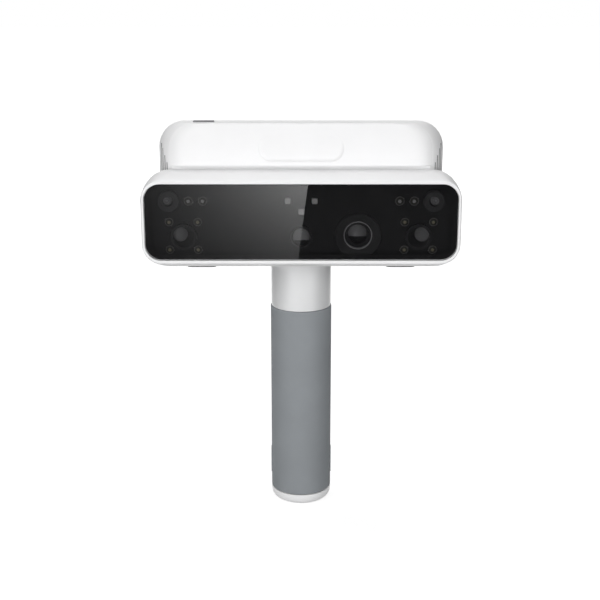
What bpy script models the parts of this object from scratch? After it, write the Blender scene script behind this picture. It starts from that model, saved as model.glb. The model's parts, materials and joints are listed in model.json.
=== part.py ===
"""Handheld three-dimensional scanner: a wide optical head on a round upright grip.

All lengths are metres. +Z is up, the optical window faces -Y, and the origin is
the centre of the flat foot of the grip.
"""

import math

import bmesh
import bpy
from mathutils import Matrix

MM = 0.001

# Clearances and shared steps
GAP = 0.3 * MM
FACET_ROOM = 0.15 * MM
PAST = 2.0 * MM
BITE = 1.0 * MM
NEARLY_ROUND = 0.97
CORNER_STEPS = 8
INNER_CORNER_STEPS = 4
PAD_CORNER_STEPS = 5
ROUND_STEPS = 36
PROJECTOR_STEPS = 32
SOCKET_STEPS = 24
CAMERA_STEPS = 20
HUB_STEPS = 20
LENS_STEPS = 18
KEY_STEPS = 16
POST_STEPS = 12
LED_STEPS = 10

# Handle, from the foot up
FOOT_RADIUS = 15.5 * MM
GRIP_RADIUS = 19.0 * MM
CAP_HEIGHT = 6.7 * MM
CAP_EDGE_HEIGHT = 4.6 * MM
CAP_SPIGOT_LENGTH = 6.3 * MM
SLEEVE_WALL = 2.2 * MM
SLEEVE_LENGTH = 122.3 * MM
SLEEVE_EDGE = 0.4 * MM
NECK_LENGTH = 29.6 * MM
NECK_INSET = 0.5 * MM
NECK_FLARE = 0.8 * MM
NECK_FLARE_HEIGHT = 5.0 * MM
CORE_WALL = 2.0 * MM
CORE_STUB = 4.0 * MM
FLANGE_REACH = 3.5 * MM
FLANGE_THICKNESS = 2.0 * MM
FLANGE_SINK = 0.2 * MM
SIDE_PAD_RISE = 8.4 * MM
SIDE_PAD_LENGTH = 18.0 * MM
SIDE_PAD_WIDTH = 7.0 * MM
SIDE_PAD_PROUD = 0.25 * MM
SOCKET_RADIUS = 7.0 * MM
SOCKET_WALL = 1.8 * MM
SOCKET_RECESS = 1.2 * MM
SOCKET_DEPTH = 11.3 * MM
SOCKET_FLOOR = 2.5 * MM

# Head shell round the window: its bezel flares out to the full width and height
HEAD_HALF_WIDTH = 95.0 * MM
HEAD_HEIGHT = 57.2 * MM
HEAD_CORNER = 17.0 * MM
SHELL_WALL = 2.4 * MM
WINDOW_FACE_Y = -35.0 * MM
FLARE_DEPTH = 15.0 * MM
FRONT_SHELL_DEPTH = 23.0 * MM
BACK_EDGE_ROUND = 1.0 * MM
BEZEL_SIDE_FLARE = 1.5 * MM
BEZEL_BOTTOM_FLARE = 4.4 * MM
BEZEL_TOP_FLARE = 3.1 * MM
BEZEL_CORNER = 11.3 * MM
BEZEL_EDGE = 0.7 * MM
BEZEL_SIDE_BORDER = 1.85 * MM
BEZEL_TOP_BORDER = 2.2 * MM
BEZEL_BOTTOM_BORDER = 2.4 * MM
GLASS_CORNER = 9.2 * MM
GLASS_THICKNESS = 1.6 * MM
GLASS_RECESS = 0.4 * MM
GLASS_EDGE = 0.3 * MM
LEDGE_WIDTH = 1.8 * MM
LEDGE_THICKNESS = 2.0 * MM
FRAME_THICKNESS = 5.0 * MM
FRAME_MARGIN = 0.6 * MM
FRAME_CORNER = 13.0 * MM
CAVITY_STEP = 4.0 * MM

# Openings between the head shell and the rear box
OPENING_SIDE = 14.0 * MM
OPENING_RISE = 5.5 * MM
OPENING_DROP = 6.7 * MM
OPENING_CORNER = 8.0 * MM
UPPER_OPENING_RISE = 3.8 * MM
BAR_THICKNESS = 2.0 * MM

# Rear box with its face cover
BOX_SIDE_STEP = 9.0 * MM
BOX_RISE = 27.3 * MM
BOX_CORNER = 16.0 * MM
BOX_FACE_STEP = 2.0 * MM
BOX_DEPTH = 48.4 * MM
BOX_PLAN_RADIUS = 18.0 * MM
TOP_ROLL_START = 11.0 * MM
TOP_ROLL_DROP = 22.0 * MM
SIDE_ROLL_DEPTH = 20.4 * MM
SIDE_ROLL_INSET = 16.0 * MM
BOTTOM_ROLL_DEPTH = 14.4 * MM
BOTTOM_ROLL_RISE = 9.0 * MM
COVER_RISE = 2.0 * MM
COVER_THICKNESS = 3.3 * MM
COVER_EDGE = 0.6 * MM
PAD_HALF_WIDTH = 25.0 * MM
PAD_RISE = 3.2 * MM
PAD_DROP = 7.0 * MM
PAD_CORNER = 7.0 * MM
PAD_PROUD = 0.9 * MM
PAD_FADE = 0.02 * MM

# Flank vents
VENT_WIDTH = 0.9 * MM
VENT_PITCH = 2.04 * MM
VENT_COUNT = 12
VENT_START_ANGLE = 47.0
VENT_RISE = 26.5 * MM
VENT_FIRST_RISE = 1.5 * MM
VENT_DROP = 13.0 * MM
VENT_TOP_STEP = 4.0 * MM
VENT_CUT_DEPTH = 10.0 * MM

# Optics, placed from the edges of the window
SCAN_CAMERA_INSET = 22.35 * MM
SCAN_CAMERA_RISE = 13.2 * MM
SCAN_CAMERA_RADIUS = 7.8 * MM
SCAN_CAMERA_TOE_IN = 18.0
SCAN_LENS_RADIUS = 4.4 * MM
SCAN_LENS_DEPTH = 7.0 * MM
TRACK_CAMERA_INSET = 13.95 * MM
TRACK_CAMERA_DROP = 10.6 * MM
TRACK_CAMERA_RADIUS = 6.3 * MM
TRACK_CAMERA_TOE_IN = 16.0
TRACK_LENS_RADIUS = 2.9 * MM
TRACK_LENS_DEPTH = 2.7 * MM
TEXTURE_CAMERA_RISE = 12.9 * MM
TEXTURE_CAMERA_RADIUS = 6.6 * MM
TEXTURE_LENS_RADIUS = 5.0 * MM
TEXTURE_LENS_DEPTH = 2.2 * MM
CAMERA_STANDOFF = 1.4 * MM
CAMERA_FLANGE = 1.6 * MM
CAMERA_MOUTH_STEP = 0.4 * MM
CAMERA_RIM = 1.4 * MM
SCAN_CAMERA_SETBACK = 3.0 * MM
TRACK_CAMERA_SETBACK = 6.0 * MM
TEXTURE_CAMERA_SETBACK = 6.5 * MM
LENS_THICKNESS = 2.0 * MM
LENS_DOME = 0.9 * MM
PROJECTOR_X = 33.6 * MM
PROJECTOR_RISE = 13.5 * MM
PROJECTOR_RADIUS = 13.6 * MM
PROJECTOR_RIM = 1.0 * MM
PROJECTOR_DISH_DEPTH = 2.0 * MM
PROJECTOR_RING_RADIUS = 8.5 * MM
PROJECTOR_RING_WALL = 0.8 * MM
PROJECTOR_RING_DEPTH = 3.2 * MM
PROJECTOR_LENS_RADIUS = 5.7 * MM
PROJECTOR_LENS_DEPTH = 9.8 * MM
PROJECTOR_LENS_CUT = 0.41
PROJECTOR_PROUD_BACK = 6.0 * MM
ENGINE_HALF_WIDTH = 15.8 * MM
ENGINE_HALF_HEIGHT = 13.2 * MM
ENGINE_LENGTH = 17.7 * MM
ENGINE_EDGE = 1.0 * MM
LED_STANDOFF = 2.1 * MM
LED_RIM = 0.7
LED_DOME = 0.4 * MM
TRACK_LED_STEPS_IN = (11.6 * MM, 20.0 * MM)
TRACK_LED_RADIUS = 2.8 * MM
SCAN_LED_OFFSET = 8.4 * MM
SCAN_LED_ABOVE = 8.8 * MM
SCAN_LED_BELOW = 7.9 * MM
SCAN_LED_RADIUS = 2.6 * MM
EMITTER_SIDE = 3.3 * MM
EMITTER_EDGE = 0.25 * MM
EMITTER_X = 7.9 * MM
EMITTER_DROP = 6.3 * MM

# Boards, cooling and keys
BOARD_THICKNESS = 1.6 * MM
BOARD_CORNER = 4.0 * MM
MAIN_BOARD_DEPTH = 9.0 * MM
MAIN_BOARD_SIDE = 22.0 * MM
MAIN_BOARD_RISE = 12.5 * MM
MAIN_BOARD_DROP = 16.0 * MM
MAIN_POST_MARGIN = 7.0 * MM
MAIN_POST_LOW = 9.0 * MM
MAIN_POST_HIGH = 18.0 * MM
MAIN_POST_RADIUS = 2.8 * MM
SINK_HALF_WIDTH = 27.0 * MM
SINK_HEIGHT = 31.0 * MM
SINK_TOP_MARGIN = 2.0 * MM
SINK_BASE = 4.0 * MM
SINK_FIN_LENGTH = 10.0 * MM
SINK_FINS = 11
SINK_FIN_THICKNESS = 1.4 * MM
FAN_SIDE = 25.0 * MM
FAN_THICKNESS = 8.0 * MM
FAN_SETBACK = 6.0 * MM
FAN_RISE = 20.0 * MM
FAN_BORE = 11.6 * MM
FAN_HUB = 4.6 * MM
FAN_HUB_RECESS = 0.6 * MM
FAN_SEAT_RIM = 0.5 * MM
FAN_TIP_GAP = 0.8 * MM
FAN_ARM_THICKNESS = 1.4 * MM
FAN_ARM_WIDTH = 2.0 * MM
FAN_ARM_COUNT = 3
FAN_ARM_SKIN = 0.1 * MM
FAN_BLADES = 7
FAN_BLADE_CHORD = 6.4 * MM
FAN_BLADE_THICKNESS = 0.7 * MM
FAN_BLADE_PITCH = 42.0
PANEL_HALF_WIDTH = 36.0 * MM
PANEL_RISE = 22.5 * MM
PANEL_HEIGHT = 30.0 * MM
PANEL_CORNER = 9.0 * MM
PANEL_RECESS = 1.6 * MM
PANEL_THICKNESS = 1.2 * MM
KEY_RISE = 14.0 * MM
KEY_PROUD = 0.6 * MM
KEY_TRAVEL = 0.8 * MM
KEY_FLANGE = 1.2 * MM
KEY_FLANGE_THICKNESS = 1.0 * MM
KEY_EDGE = 0.4 * MM
KEY_DISH = 0.3 * MM
KEY_DISH_SHARE = 0.7
SCAN_KEY_RADIUS = 7.0 * MM
ARROW_KEY_RADIUS = 4.8 * MM
ARROW_KEY_INSET = 15.0 * MM
STATUS_LIGHT_DROP = 4.4 * MM
STATUS_LIGHT_HALF = 6.0 * MM
STATUS_LIGHT_HEIGHT = 1.8 * MM
STATUS_LIGHT_PROUD = 0.2 * MM
KEY_BOARD_SIDE = 5.0 * MM
KEY_BOARD_LOW_MARGIN = 2.0 * MM
KEY_BOARD_HIGH_MARGIN = 4.0 * MM
KEY_BOARD_THICKNESS = 1.2 * MM
KEY_BOARD_CORNER = 2.0 * MM
KEY_POST_RADIUS = 1.8 * MM
KEY_POST_MARGIN = 3.0 * MM
POWER_KEY_SIDE = 27.9 * MM
POWER_KEY_WIDTH = 12.2 * MM
POWER_KEY_DEPTH = 4.6 * MM
POWER_KEY_SETBACK = 8.5 * MM
POWER_KEY_PROUD = 0.6 * MM

# Pads under the head
REST_PAD_SIDE = 35.0 * MM
REST_PAD_HALF_LENGTH = 9.0 * MM
REST_PAD_WIDTH = 6.4 * MM
REST_PAD_SETBACK = 18.4 * MM
REST_PAD_THICKNESS = 1.0 * MM

# Sizes that follow from the ones above: the handle
CORE_RADIUS = GRIP_RADIUS - SLEEVE_WALL - GAP
CORE_BORE = CORE_RADIUS - CORE_WALL
NECK_RADIUS = GRIP_RADIUS - NECK_INSET
SLEEVE_LOW = CAP_HEIGHT + GAP
SLEEVE_HIGH = SLEEVE_LOW + SLEEVE_LENGTH
SIDE_PAD_LOW = SLEEVE_LOW + SIDE_PAD_RISE
NECK_LOW = SLEEVE_HIGH + GAP
NECK_HIGH = NECK_LOW + NECK_LENGTH
HEAD_BOTTOM = NECK_HIGH + GAP
HEAD_FLOOR = HEAD_BOTTOM + SHELL_WALL
FLANGE_SEAT = HEAD_FLOOR - FLANGE_SINK
FLANGE_RADIUS = CORE_RADIUS + FLANGE_REACH
CORE_TOP = FLANGE_SEAT + GAP + FLANGE_THICKNESS + CORE_STUB

# The head's window
HEAD_SHOULDER_TOP = HEAD_BOTTOM + HEAD_HEIGHT
FLARE_END_Y = WINDOW_FACE_Y + FLARE_DEPTH
FRONT_SHELL_BACK_Y = WINDOW_FACE_Y + FRONT_SHELL_DEPTH
BEZEL_HALF_WIDTH = HEAD_HALF_WIDTH - BEZEL_SIDE_FLARE
BEZEL_BOTTOM = HEAD_BOTTOM + BEZEL_BOTTOM_FLARE
BEZEL_TOP = HEAD_SHOULDER_TOP - BEZEL_TOP_FLARE
GLASS_HALF_WIDTH = BEZEL_HALF_WIDTH - BEZEL_SIDE_BORDER
GLASS_LOW = BEZEL_BOTTOM + BEZEL_BOTTOM_BORDER
GLASS_HIGH = BEZEL_TOP - BEZEL_TOP_BORDER
GLASS_FRONT_Y = WINDOW_FACE_Y + GLASS_RECESS
GLASS_BACK_Y = GLASS_FRONT_Y + GLASS_THICKNESS
LEDGE_FRONT_Y = GLASS_BACK_Y + GAP
LEDGE_BACK_Y = LEDGE_FRONT_Y + LEDGE_THICKNESS
FRAME_FRONT_Y = LEDGE_BACK_Y + GAP
FRAME_BACK_Y = FRAME_FRONT_Y + FRAME_THICKNESS

# The rear box
BOX_HALF_WIDTH = HEAD_HALF_WIDTH - BOX_SIDE_STEP
BOX_TOP = HEAD_SHOULDER_TOP + BOX_RISE
BOX_FACE_Y = FRONT_SHELL_BACK_Y - BOX_FACE_STEP
BOX_BACK_Y = BOX_FACE_Y + BOX_DEPTH
BOX_PLAN_Y = BOX_FACE_Y + BOX_PLAN_RADIUS
TOP_ROLL_Y = BOX_FACE_Y + TOP_ROLL_START
SIDE_ROLL_Y = BOX_BACK_Y - SIDE_ROLL_DEPTH
BOTTOM_ROLL_Y = BOX_BACK_Y - BOTTOM_ROLL_DEPTH
REAR_SHELL_FRONT_Y = FRONT_SHELL_BACK_Y + GAP
BACK_INNER_Y = BOX_BACK_Y - SHELL_WALL
COVER_BOTTOM = HEAD_SHOULDER_TOP + COVER_RISE
COVER_BACK_Y = BOX_FACE_Y + COVER_THICKNESS
PAD_LOW = COVER_BOTTOM + PAD_RISE
PAD_HIGH = BOX_TOP - PAD_DROP
OPENING_HALF = BOX_HALF_WIDTH - OPENING_SIDE
OPENING_LOW = HEAD_BOTTOM + OPENING_RISE
OPENING_HIGH = HEAD_SHOULDER_TOP - OPENING_DROP
UPPER_OPENING_LOW = COVER_BOTTOM + UPPER_OPENING_RISE
VENT_LOW = HEAD_BOTTOM + VENT_RISE
VENT_FIRST_TOP = COVER_BOTTOM + VENT_FIRST_RISE
VENT_TOP = BOX_TOP - VENT_DROP

# The optics
CAMERA_FRONT_Y = GLASS_BACK_Y + CAMERA_STANDOFF
LED_FRONT_Y = GLASS_BACK_Y + LED_STANDOFF
SCAN_CAMERA_X = GLASS_HALF_WIDTH - SCAN_CAMERA_INSET
SCAN_CAMERA_Z = GLASS_LOW + SCAN_CAMERA_RISE
SCAN_CAMERA_BACK_Y = FRONT_SHELL_BACK_Y - SCAN_CAMERA_SETBACK
TRACK_CAMERA_X = GLASS_HALF_WIDTH - TRACK_CAMERA_INSET
TRACK_CAMERA_Z = GLASS_HIGH - TRACK_CAMERA_DROP
TRACK_CAMERA_BACK_Y = FRONT_SHELL_BACK_Y - TRACK_CAMERA_SETBACK
TEXTURE_CAMERA_Z = GLASS_LOW + TEXTURE_CAMERA_RISE
TEXTURE_CAMERA_BACK_Y = FRONT_SHELL_BACK_Y - TEXTURE_CAMERA_SETBACK
PROJECTOR_Z = GLASS_LOW + PROJECTOR_RISE
PROJECTOR_BACK_Y = FRONT_SHELL_BACK_Y + PROJECTOR_PROUD_BACK
TRACK_LED_XS = [TRACK_CAMERA_X - step for step in TRACK_LED_STEPS_IN]
SCAN_LED_XS = (SCAN_CAMERA_X + SCAN_LED_OFFSET, SCAN_CAMERA_X - SCAN_LED_OFFSET)
SCAN_LED_ZS = (SCAN_CAMERA_Z + SCAN_LED_ABOVE, SCAN_CAMERA_Z - SCAN_LED_BELOW)
EMITTER_PLACES = (
    (-EMITTER_X, TRACK_CAMERA_Z),
    (EMITTER_X, TRACK_CAMERA_Z),
    (0.0, TRACK_CAMERA_Z - EMITTER_DROP),
)

# Boards, fan, keypad and pads
MAIN_BOARD_BACK_Y = BOX_BACK_Y - MAIN_BOARD_DEPTH
MAIN_BOARD_Y = MAIN_BOARD_BACK_Y - BOARD_THICKNESS
MAIN_BOARD_HALF_WIDTH = BOX_HALF_WIDTH - MAIN_BOARD_SIDE
MAIN_BOARD_LOW = HEAD_BOTTOM + MAIN_BOARD_RISE
MAIN_BOARD_HIGH = BOX_TOP - MAIN_BOARD_DROP
MAIN_POST_X = MAIN_BOARD_HALF_WIDTH - MAIN_POST_MARGIN
MAIN_POST_ZS = (MAIN_BOARD_LOW + MAIN_POST_LOW, MAIN_BOARD_HIGH - MAIN_POST_HIGH)
SINK_HIGH = MAIN_BOARD_HIGH - SINK_TOP_MARGIN
SINK_LOW = SINK_HIGH - SINK_HEIGHT
FAN_Y = BOX_PLAN_Y + FAN_SETBACK
FAN_Z = VENT_LOW + FAN_RISE
PANEL_LOW = HEAD_BOTTOM + PANEL_RISE
PANEL_HIGH = PANEL_LOW + PANEL_HEIGHT
PANEL_SEAT_Y = BOX_BACK_Y - PANEL_RECESS
PANEL_FACE_Y = PANEL_SEAT_Y + GAP + PANEL_THICKNESS
KEY_Z = PANEL_LOW + KEY_RISE
ARROW_KEY_X = PANEL_HALF_WIDTH - ARROW_KEY_INSET
KEY_FLANGE_Y = BACK_INNER_Y - GAP - KEY_FLANGE_THICKNESS
STATUS_LIGHT_Z = PANEL_HIGH - STATUS_LIGHT_DROP
KEY_BOARD_Y = KEY_FLANGE_Y - KEY_TRAVEL - GAP - KEY_BOARD_THICKNESS
KEY_BOARD_HALF_WIDTH = PANEL_HALF_WIDTH - KEY_BOARD_SIDE
KEY_BOARD_LOW = PANEL_LOW + KEY_BOARD_LOW_MARGIN
KEY_BOARD_HIGH = PANEL_HIGH - KEY_BOARD_HIGH_MARGIN
KEY_POST_X = KEY_BOARD_HALF_WIDTH - KEY_POST_MARGIN
POWER_KEY_X = POWER_KEY_SIDE - BOX_HALF_WIDTH
POWER_KEY_Y = BOX_FACE_Y + POWER_KEY_SETBACK
REST_PAD_X = HEAD_HALF_WIDTH - REST_PAD_SIDE
REST_PAD_Y = WINDOW_FACE_Y + REST_PAD_SETBACK


# Building blocks

def clear_scene():
    for obj in list(bpy.data.objects):
        bpy.data.objects.remove(obj, do_unlink=True)


def finish(name):
    """A plain shader for one kind of piece, by its name in FINISHES."""
    if name in bpy.data.materials:
        return bpy.data.materials[name]
    colour, roughness, metallic = FINISHES[name]
    material = bpy.data.materials.new(name)
    material.use_nodes = True
    shader = material.node_tree.nodes["Principled BSDF"]
    shader.inputs["Base Color"].default_value = (*colour, 1.0)
    shader.inputs["Roughness"].default_value = roughness
    shader.inputs["Metallic"].default_value = metallic
    return material


FINISHES = {
    "white_plastic": ((0.88, 0.88, 0.88), 0.35, 0.0),
    "pale_grey_plastic": ((0.66, 0.67, 0.68), 0.4, 0.0),
    "smoked_glass": ((0.02, 0.02, 0.022), 0.05, 0.0),
    "black_metal": ((0.015, 0.015, 0.016), 0.5, 0.6),
    "black_plastic": ((0.012, 0.012, 0.013), 0.55, 0.0),
    "lens_glass": ((0.03, 0.03, 0.04), 0.05, 0.0),
    "led_lens": ((0.25, 0.24, 0.2), 0.3, 0.0),
    "emitter": ((0.3, 0.3, 0.3), 0.4, 0.0),
    "neck_coat": ((0.6, 0.6, 0.61), 0.35, 0.3),
    "grip_rubber": ((0.25, 0.27, 0.27), 0.7, 0.0),
    "dark_rubber": ((0.05, 0.05, 0.05), 0.8, 0.0),
    "key_plastic": ((0.2, 0.2, 0.21), 0.45, 0.0),
    "panel_black": ((0.03, 0.03, 0.03), 0.25, 0.0),
    "board_green": ((0.03, 0.14, 0.07), 0.5, 0.0),
    "bare_aluminium": ((0.7, 0.7, 0.72), 0.35, 1.0),
}


def add_object(name, bm, look, place=(0, 0, 0)):
    bmesh.ops.recalc_face_normals(bm, faces=bm.faces)
    mesh = bpy.data.meshes.new(name)
    bm.to_mesh(mesh)
    bm.free()
    mesh.materials.append(finish(look))
    obj = bpy.data.objects.new(name, mesh)
    obj.location = place
    bpy.context.scene.collection.objects.link(obj)
    return obj


def smooth(obj, angle=32.0):
    obj.data.shade_smooth()
    obj.data.set_sharp_from_angle(angle=math.radians(angle))
    return obj


def as_tool(obj):
    obj.hide_render = True
    obj.display_type = "WIRE"
    return obj


def apply_tool(target, tool, operation):
    as_tool(tool)
    step = target.modifiers.new(tool.name, "BOOLEAN")
    step.operation = operation
    step.solver = "EXACT"
    step.object = tool


def cut(target, *tools):
    for tool in tools:
        apply_tool(target, tool, "DIFFERENCE")


def fuse(target, *tools):
    for tool in tools:
        apply_tool(target, tool, "UNION")


def bevel(obj, width, segments=2, angle=40.0):
    edge = obj.modifiers.new("edge", "BEVEL")
    edge.width = width
    edge.segments = segments
    edge.limit_method = "ANGLE"
    edge.angle_limit = math.radians(angle)
    return obj


def rounded_outline(half, low, high, corner, steps=CORNER_STEPS):
    """(x, z) points of an upright rounded rectangle that is centred on x = 0."""
    centres = (
        (half - corner, high - corner),
        (corner - half, high - corner),
        (corner - half, low + corner),
        (half - corner, low + corner),
    )
    points = []
    for turn, (cx, cz) in enumerate(centres):
        for i in range(steps + 1):
            angle = math.pi / 2 * (turn + i / steps)
            points.append((cx + corner * math.cos(angle), cz + corner * math.sin(angle)))
    return points


def loft(name, sections, look="white_plastic", place=(0, 0, 0)):
    """A closed body through (y, outline) sections with equal point counts."""
    bm = bmesh.new()
    rings = [[bm.verts.new((x, y, z)) for x, z in outline] for y, outline in sections]
    bm.faces.new(rings[0])
    bm.faces.new(rings[-1])
    for ring, following in zip(rings, rings[1:]):
        for i in range(len(ring)):
            j = (i + 1) % len(ring)
            bm.faces.new((ring[i], ring[j], following[j], following[i]))
    return add_object(name, bm, look, place)


def slab(name, half, low, high, corner, front, back, look="white_plastic", steps=6):
    outline = rounded_outline(half, low, high, corner, steps)
    return loft(name, [(front, outline), (back, outline)], look)


def block(name, low, high, look="white_plastic"):
    bm = bmesh.new()
    bmesh.ops.create_cube(bm, size=1.0)
    for vert in bm.verts:
        for axis in range(3):
            vert.co[axis] = low[axis] if vert.co[axis] < 0 else high[axis]
    return add_object(name, bm, look)


TURNS = {
    "Z": Matrix.Identity(4),
    "Y": Matrix.Rotation(-math.pi / 2, 4, "X"),
    "X": Matrix.Rotation(math.pi / 2, 4, "Y"),
}


def spun_mesh(profile, along, steps, ring):
    """Spin (radius, distance) points about an axis. A ring profile closes on itself."""
    bm = bmesh.new()
    verts = [bm.verts.new((radius, 0, distance)) for radius, distance in profile]
    edges = [bm.edges.new(pair) for pair in zip(verts, verts[1:])]
    if ring:
        edges.append(bm.edges.new((verts[-1], verts[0])))
    bmesh.ops.spin(
        bm, geom=verts + edges, cent=(0, 0, 0), axis=(0, 0, 1),
        steps=steps, angle=2 * math.pi, use_merge=True,
    )
    bmesh.ops.remove_doubles(bm, verts=bm.verts, dist=1e-7)
    bmesh.ops.transform(bm, matrix=TURNS[along], verts=bm.verts)
    return bm


def turned(name, profile, look, along="Y", place=(0, 0, 0), steps=CAMERA_STEPS, ring=False):
    return smooth(add_object(name, spun_mesh(profile, along, steps, ring), look, place))


def disc(name, radius, start, end, along, place, steps=CAMERA_STEPS, look="white_plastic"):
    profile = [(0, start), (radius, start), (radius, end), (0, end)]
    return turned(name, profile, look, along, place, steps)


def joined(name, parts):
    """One tool from several separate bodies."""
    bm = bmesh.new()
    for part in parts:
        part.data.transform(Matrix.Translation(part.location))
        bm.from_mesh(part.data)
        bpy.data.objects.remove(part, do_unlink=True)
    return add_object(name, bm, "white_plastic")


# Handle

def build_handle():
    bore = SOCKET_RADIUS + GAP
    spigot = CORE_BORE - GAP
    edge_steps = 4
    edge = []
    for i in range(1, edge_steps):
        angle = math.pi / 2 * i / edge_steps
        radius = FOOT_RADIUS + (GRIP_RADIUS - FOOT_RADIUS) * math.sin(angle)
        edge.append((radius, CAP_EDGE_HEIGHT * (1 - math.cos(angle))))
    cap = [(bore, 0), (FOOT_RADIUS, 0), *edge, (GRIP_RADIUS, CAP_EDGE_HEIGHT)]
    cap += [(GRIP_RADIUS, CAP_HEIGHT), (spigot, CAP_HEIGHT)]
    cap += [(spigot, CAP_HEIGHT + CAP_SPIGOT_LENGTH), (bore, CAP_HEIGHT + CAP_SPIGOT_LENGTH)]
    turned("end_cap", cap, "white_plastic", "Z", steps=ROUND_STEPS, ring=True)

    inner = SOCKET_RADIUS - SOCKET_WALL
    roof = SOCKET_RECESS + SOCKET_DEPTH
    socket = [(0, roof), (inner, roof), (inner, SOCKET_RECESS), (SOCKET_RADIUS, SOCKET_RECESS)]
    socket += [(SOCKET_RADIUS, roof + SOCKET_FLOOR), (0, roof + SOCKET_FLOOR)]
    turned("cable_socket", socket, "black_metal", "Z", steps=SOCKET_STEPS)

    flange_low = FLANGE_SEAT + GAP
    core = [(CORE_BORE, SLEEVE_LOW), (CORE_RADIUS, SLEEVE_LOW), (CORE_RADIUS, flange_low)]
    core += [(FLANGE_RADIUS, flange_low), (FLANGE_RADIUS, flange_low + FLANGE_THICKNESS)]
    core += [(CORE_RADIUS, flange_low + FLANGE_THICKNESS), (CORE_RADIUS, CORE_TOP)]
    core += [(CORE_BORE, CORE_TOP)]
    turned("handle_core", core, "bare_aluminium", "Z", steps=ROUND_STEPS, ring=True)

    sleeve_bore = CORE_RADIUS + GAP
    sleeve = [(sleeve_bore, SLEEVE_LOW), (GRIP_RADIUS - SLEEVE_EDGE, SLEEVE_LOW)]
    sleeve += [(GRIP_RADIUS, SLEEVE_LOW + SLEEVE_EDGE), (GRIP_RADIUS, SLEEVE_HIGH - SLEEVE_EDGE)]
    sleeve += [(GRIP_RADIUS - SLEEVE_EDGE, SLEEVE_HIGH), (sleeve_bore, SLEEVE_HIGH)]
    grip = turned("grip_sleeve", sleeve, "grip_rubber", "Z", steps=ROUND_STEPS, ring=True)
    for side, label in ((-1, "left"), (1, "right")):
        fuse(grip, side_pad(f"side_pad_{label}", side))

    neck = [(sleeve_bore, NECK_LOW), (NECK_RADIUS, NECK_LOW)]
    neck += [(NECK_RADIUS, NECK_HIGH - NECK_FLARE_HEIGHT)]
    neck += [(NECK_RADIUS + NECK_FLARE / 4, NECK_HIGH - NECK_FLARE_HEIGHT / 2)]
    neck += [(NECK_RADIUS + NECK_FLARE, NECK_HIGH), (sleeve_bore, NECK_HIGH)]
    turned("neck_collar", neck, "neck_coat", "Z", steps=ROUND_STEPS, ring=True)


def side_pad(name, side):
    """A low oval pad moulded on the side of the grip."""
    half = SIDE_PAD_WIDTH / 2
    high = SIDE_PAD_LOW + SIDE_PAD_LENGTH
    outline = rounded_outline(half, SIDE_PAD_LOW, high, half * NEARLY_ROUND, PAD_CORNER_STEPS)
    root = GRIP_RADIUS - SLEEVE_WALL / 2
    face = GRIP_RADIUS + SIDE_PAD_PROUD
    pad = loft(name, [(root, outline), (face, outline)])
    pad.data.transform(Matrix.Rotation(-side * math.pi / 2, 4, "Z"))
    return pad


# Front shell with the window

def front_section(y, inset=0.0, steps=CORNER_STEPS):
    """The front shell's outline at y: the bezel flares to the shoulder behind it."""
    share = min(1.0, (y - WINDOW_FACE_Y) / (FLARE_END_Y - WINDOW_FACE_Y))
    ease = math.sin(max(0.0, share) * math.pi / 2)
    half = BEZEL_HALF_WIDTH + (HEAD_HALF_WIDTH - BEZEL_HALF_WIDTH) * ease
    low = BEZEL_BOTTOM + (HEAD_BOTTOM - BEZEL_BOTTOM) * ease
    high = BEZEL_TOP + (HEAD_SHOULDER_TOP - BEZEL_TOP) * ease
    corner = BEZEL_CORNER + (HEAD_CORNER - BEZEL_CORNER) * ease
    return rounded_outline(half - inset, low + inset, high - inset, corner - inset, steps)


def window_slab(name, grow, front, back, look="white_plastic"):
    """A slab with the window's outline, larger all round by grow."""
    return slab(
        name, GLASS_HALF_WIDTH + grow, GLASS_LOW - grow, GLASS_HIGH + grow,
        GLASS_CORNER + grow, front, back, look, CORNER_STEPS,
    )


def back_opening(name):
    return slab(
        name, OPENING_HALF, OPENING_LOW, OPENING_HIGH,
        OPENING_CORNER, FRONT_SHELL_BACK_Y - 2 * SHELL_WALL,
        REAR_SHELL_FRONT_Y + 2 * BAR_THICKNESS,
    )


def core_clearance(name):
    """The hole for the handle core, with the seat for its flange above the floor."""
    hole = CORE_RADIUS + GAP
    seat = FLANGE_RADIUS + 2 * GAP
    top = CORE_TOP + PAST
    profile = [(0, HEAD_BOTTOM - PAST), (hole, HEAD_BOTTOM - PAST), (hole, FLANGE_SEAT)]
    profile += [(seat, FLANGE_SEAT), (seat, top), (0, top)]
    return turned(name, profile, "white_plastic", "Z", steps=ROUND_STEPS)


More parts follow.
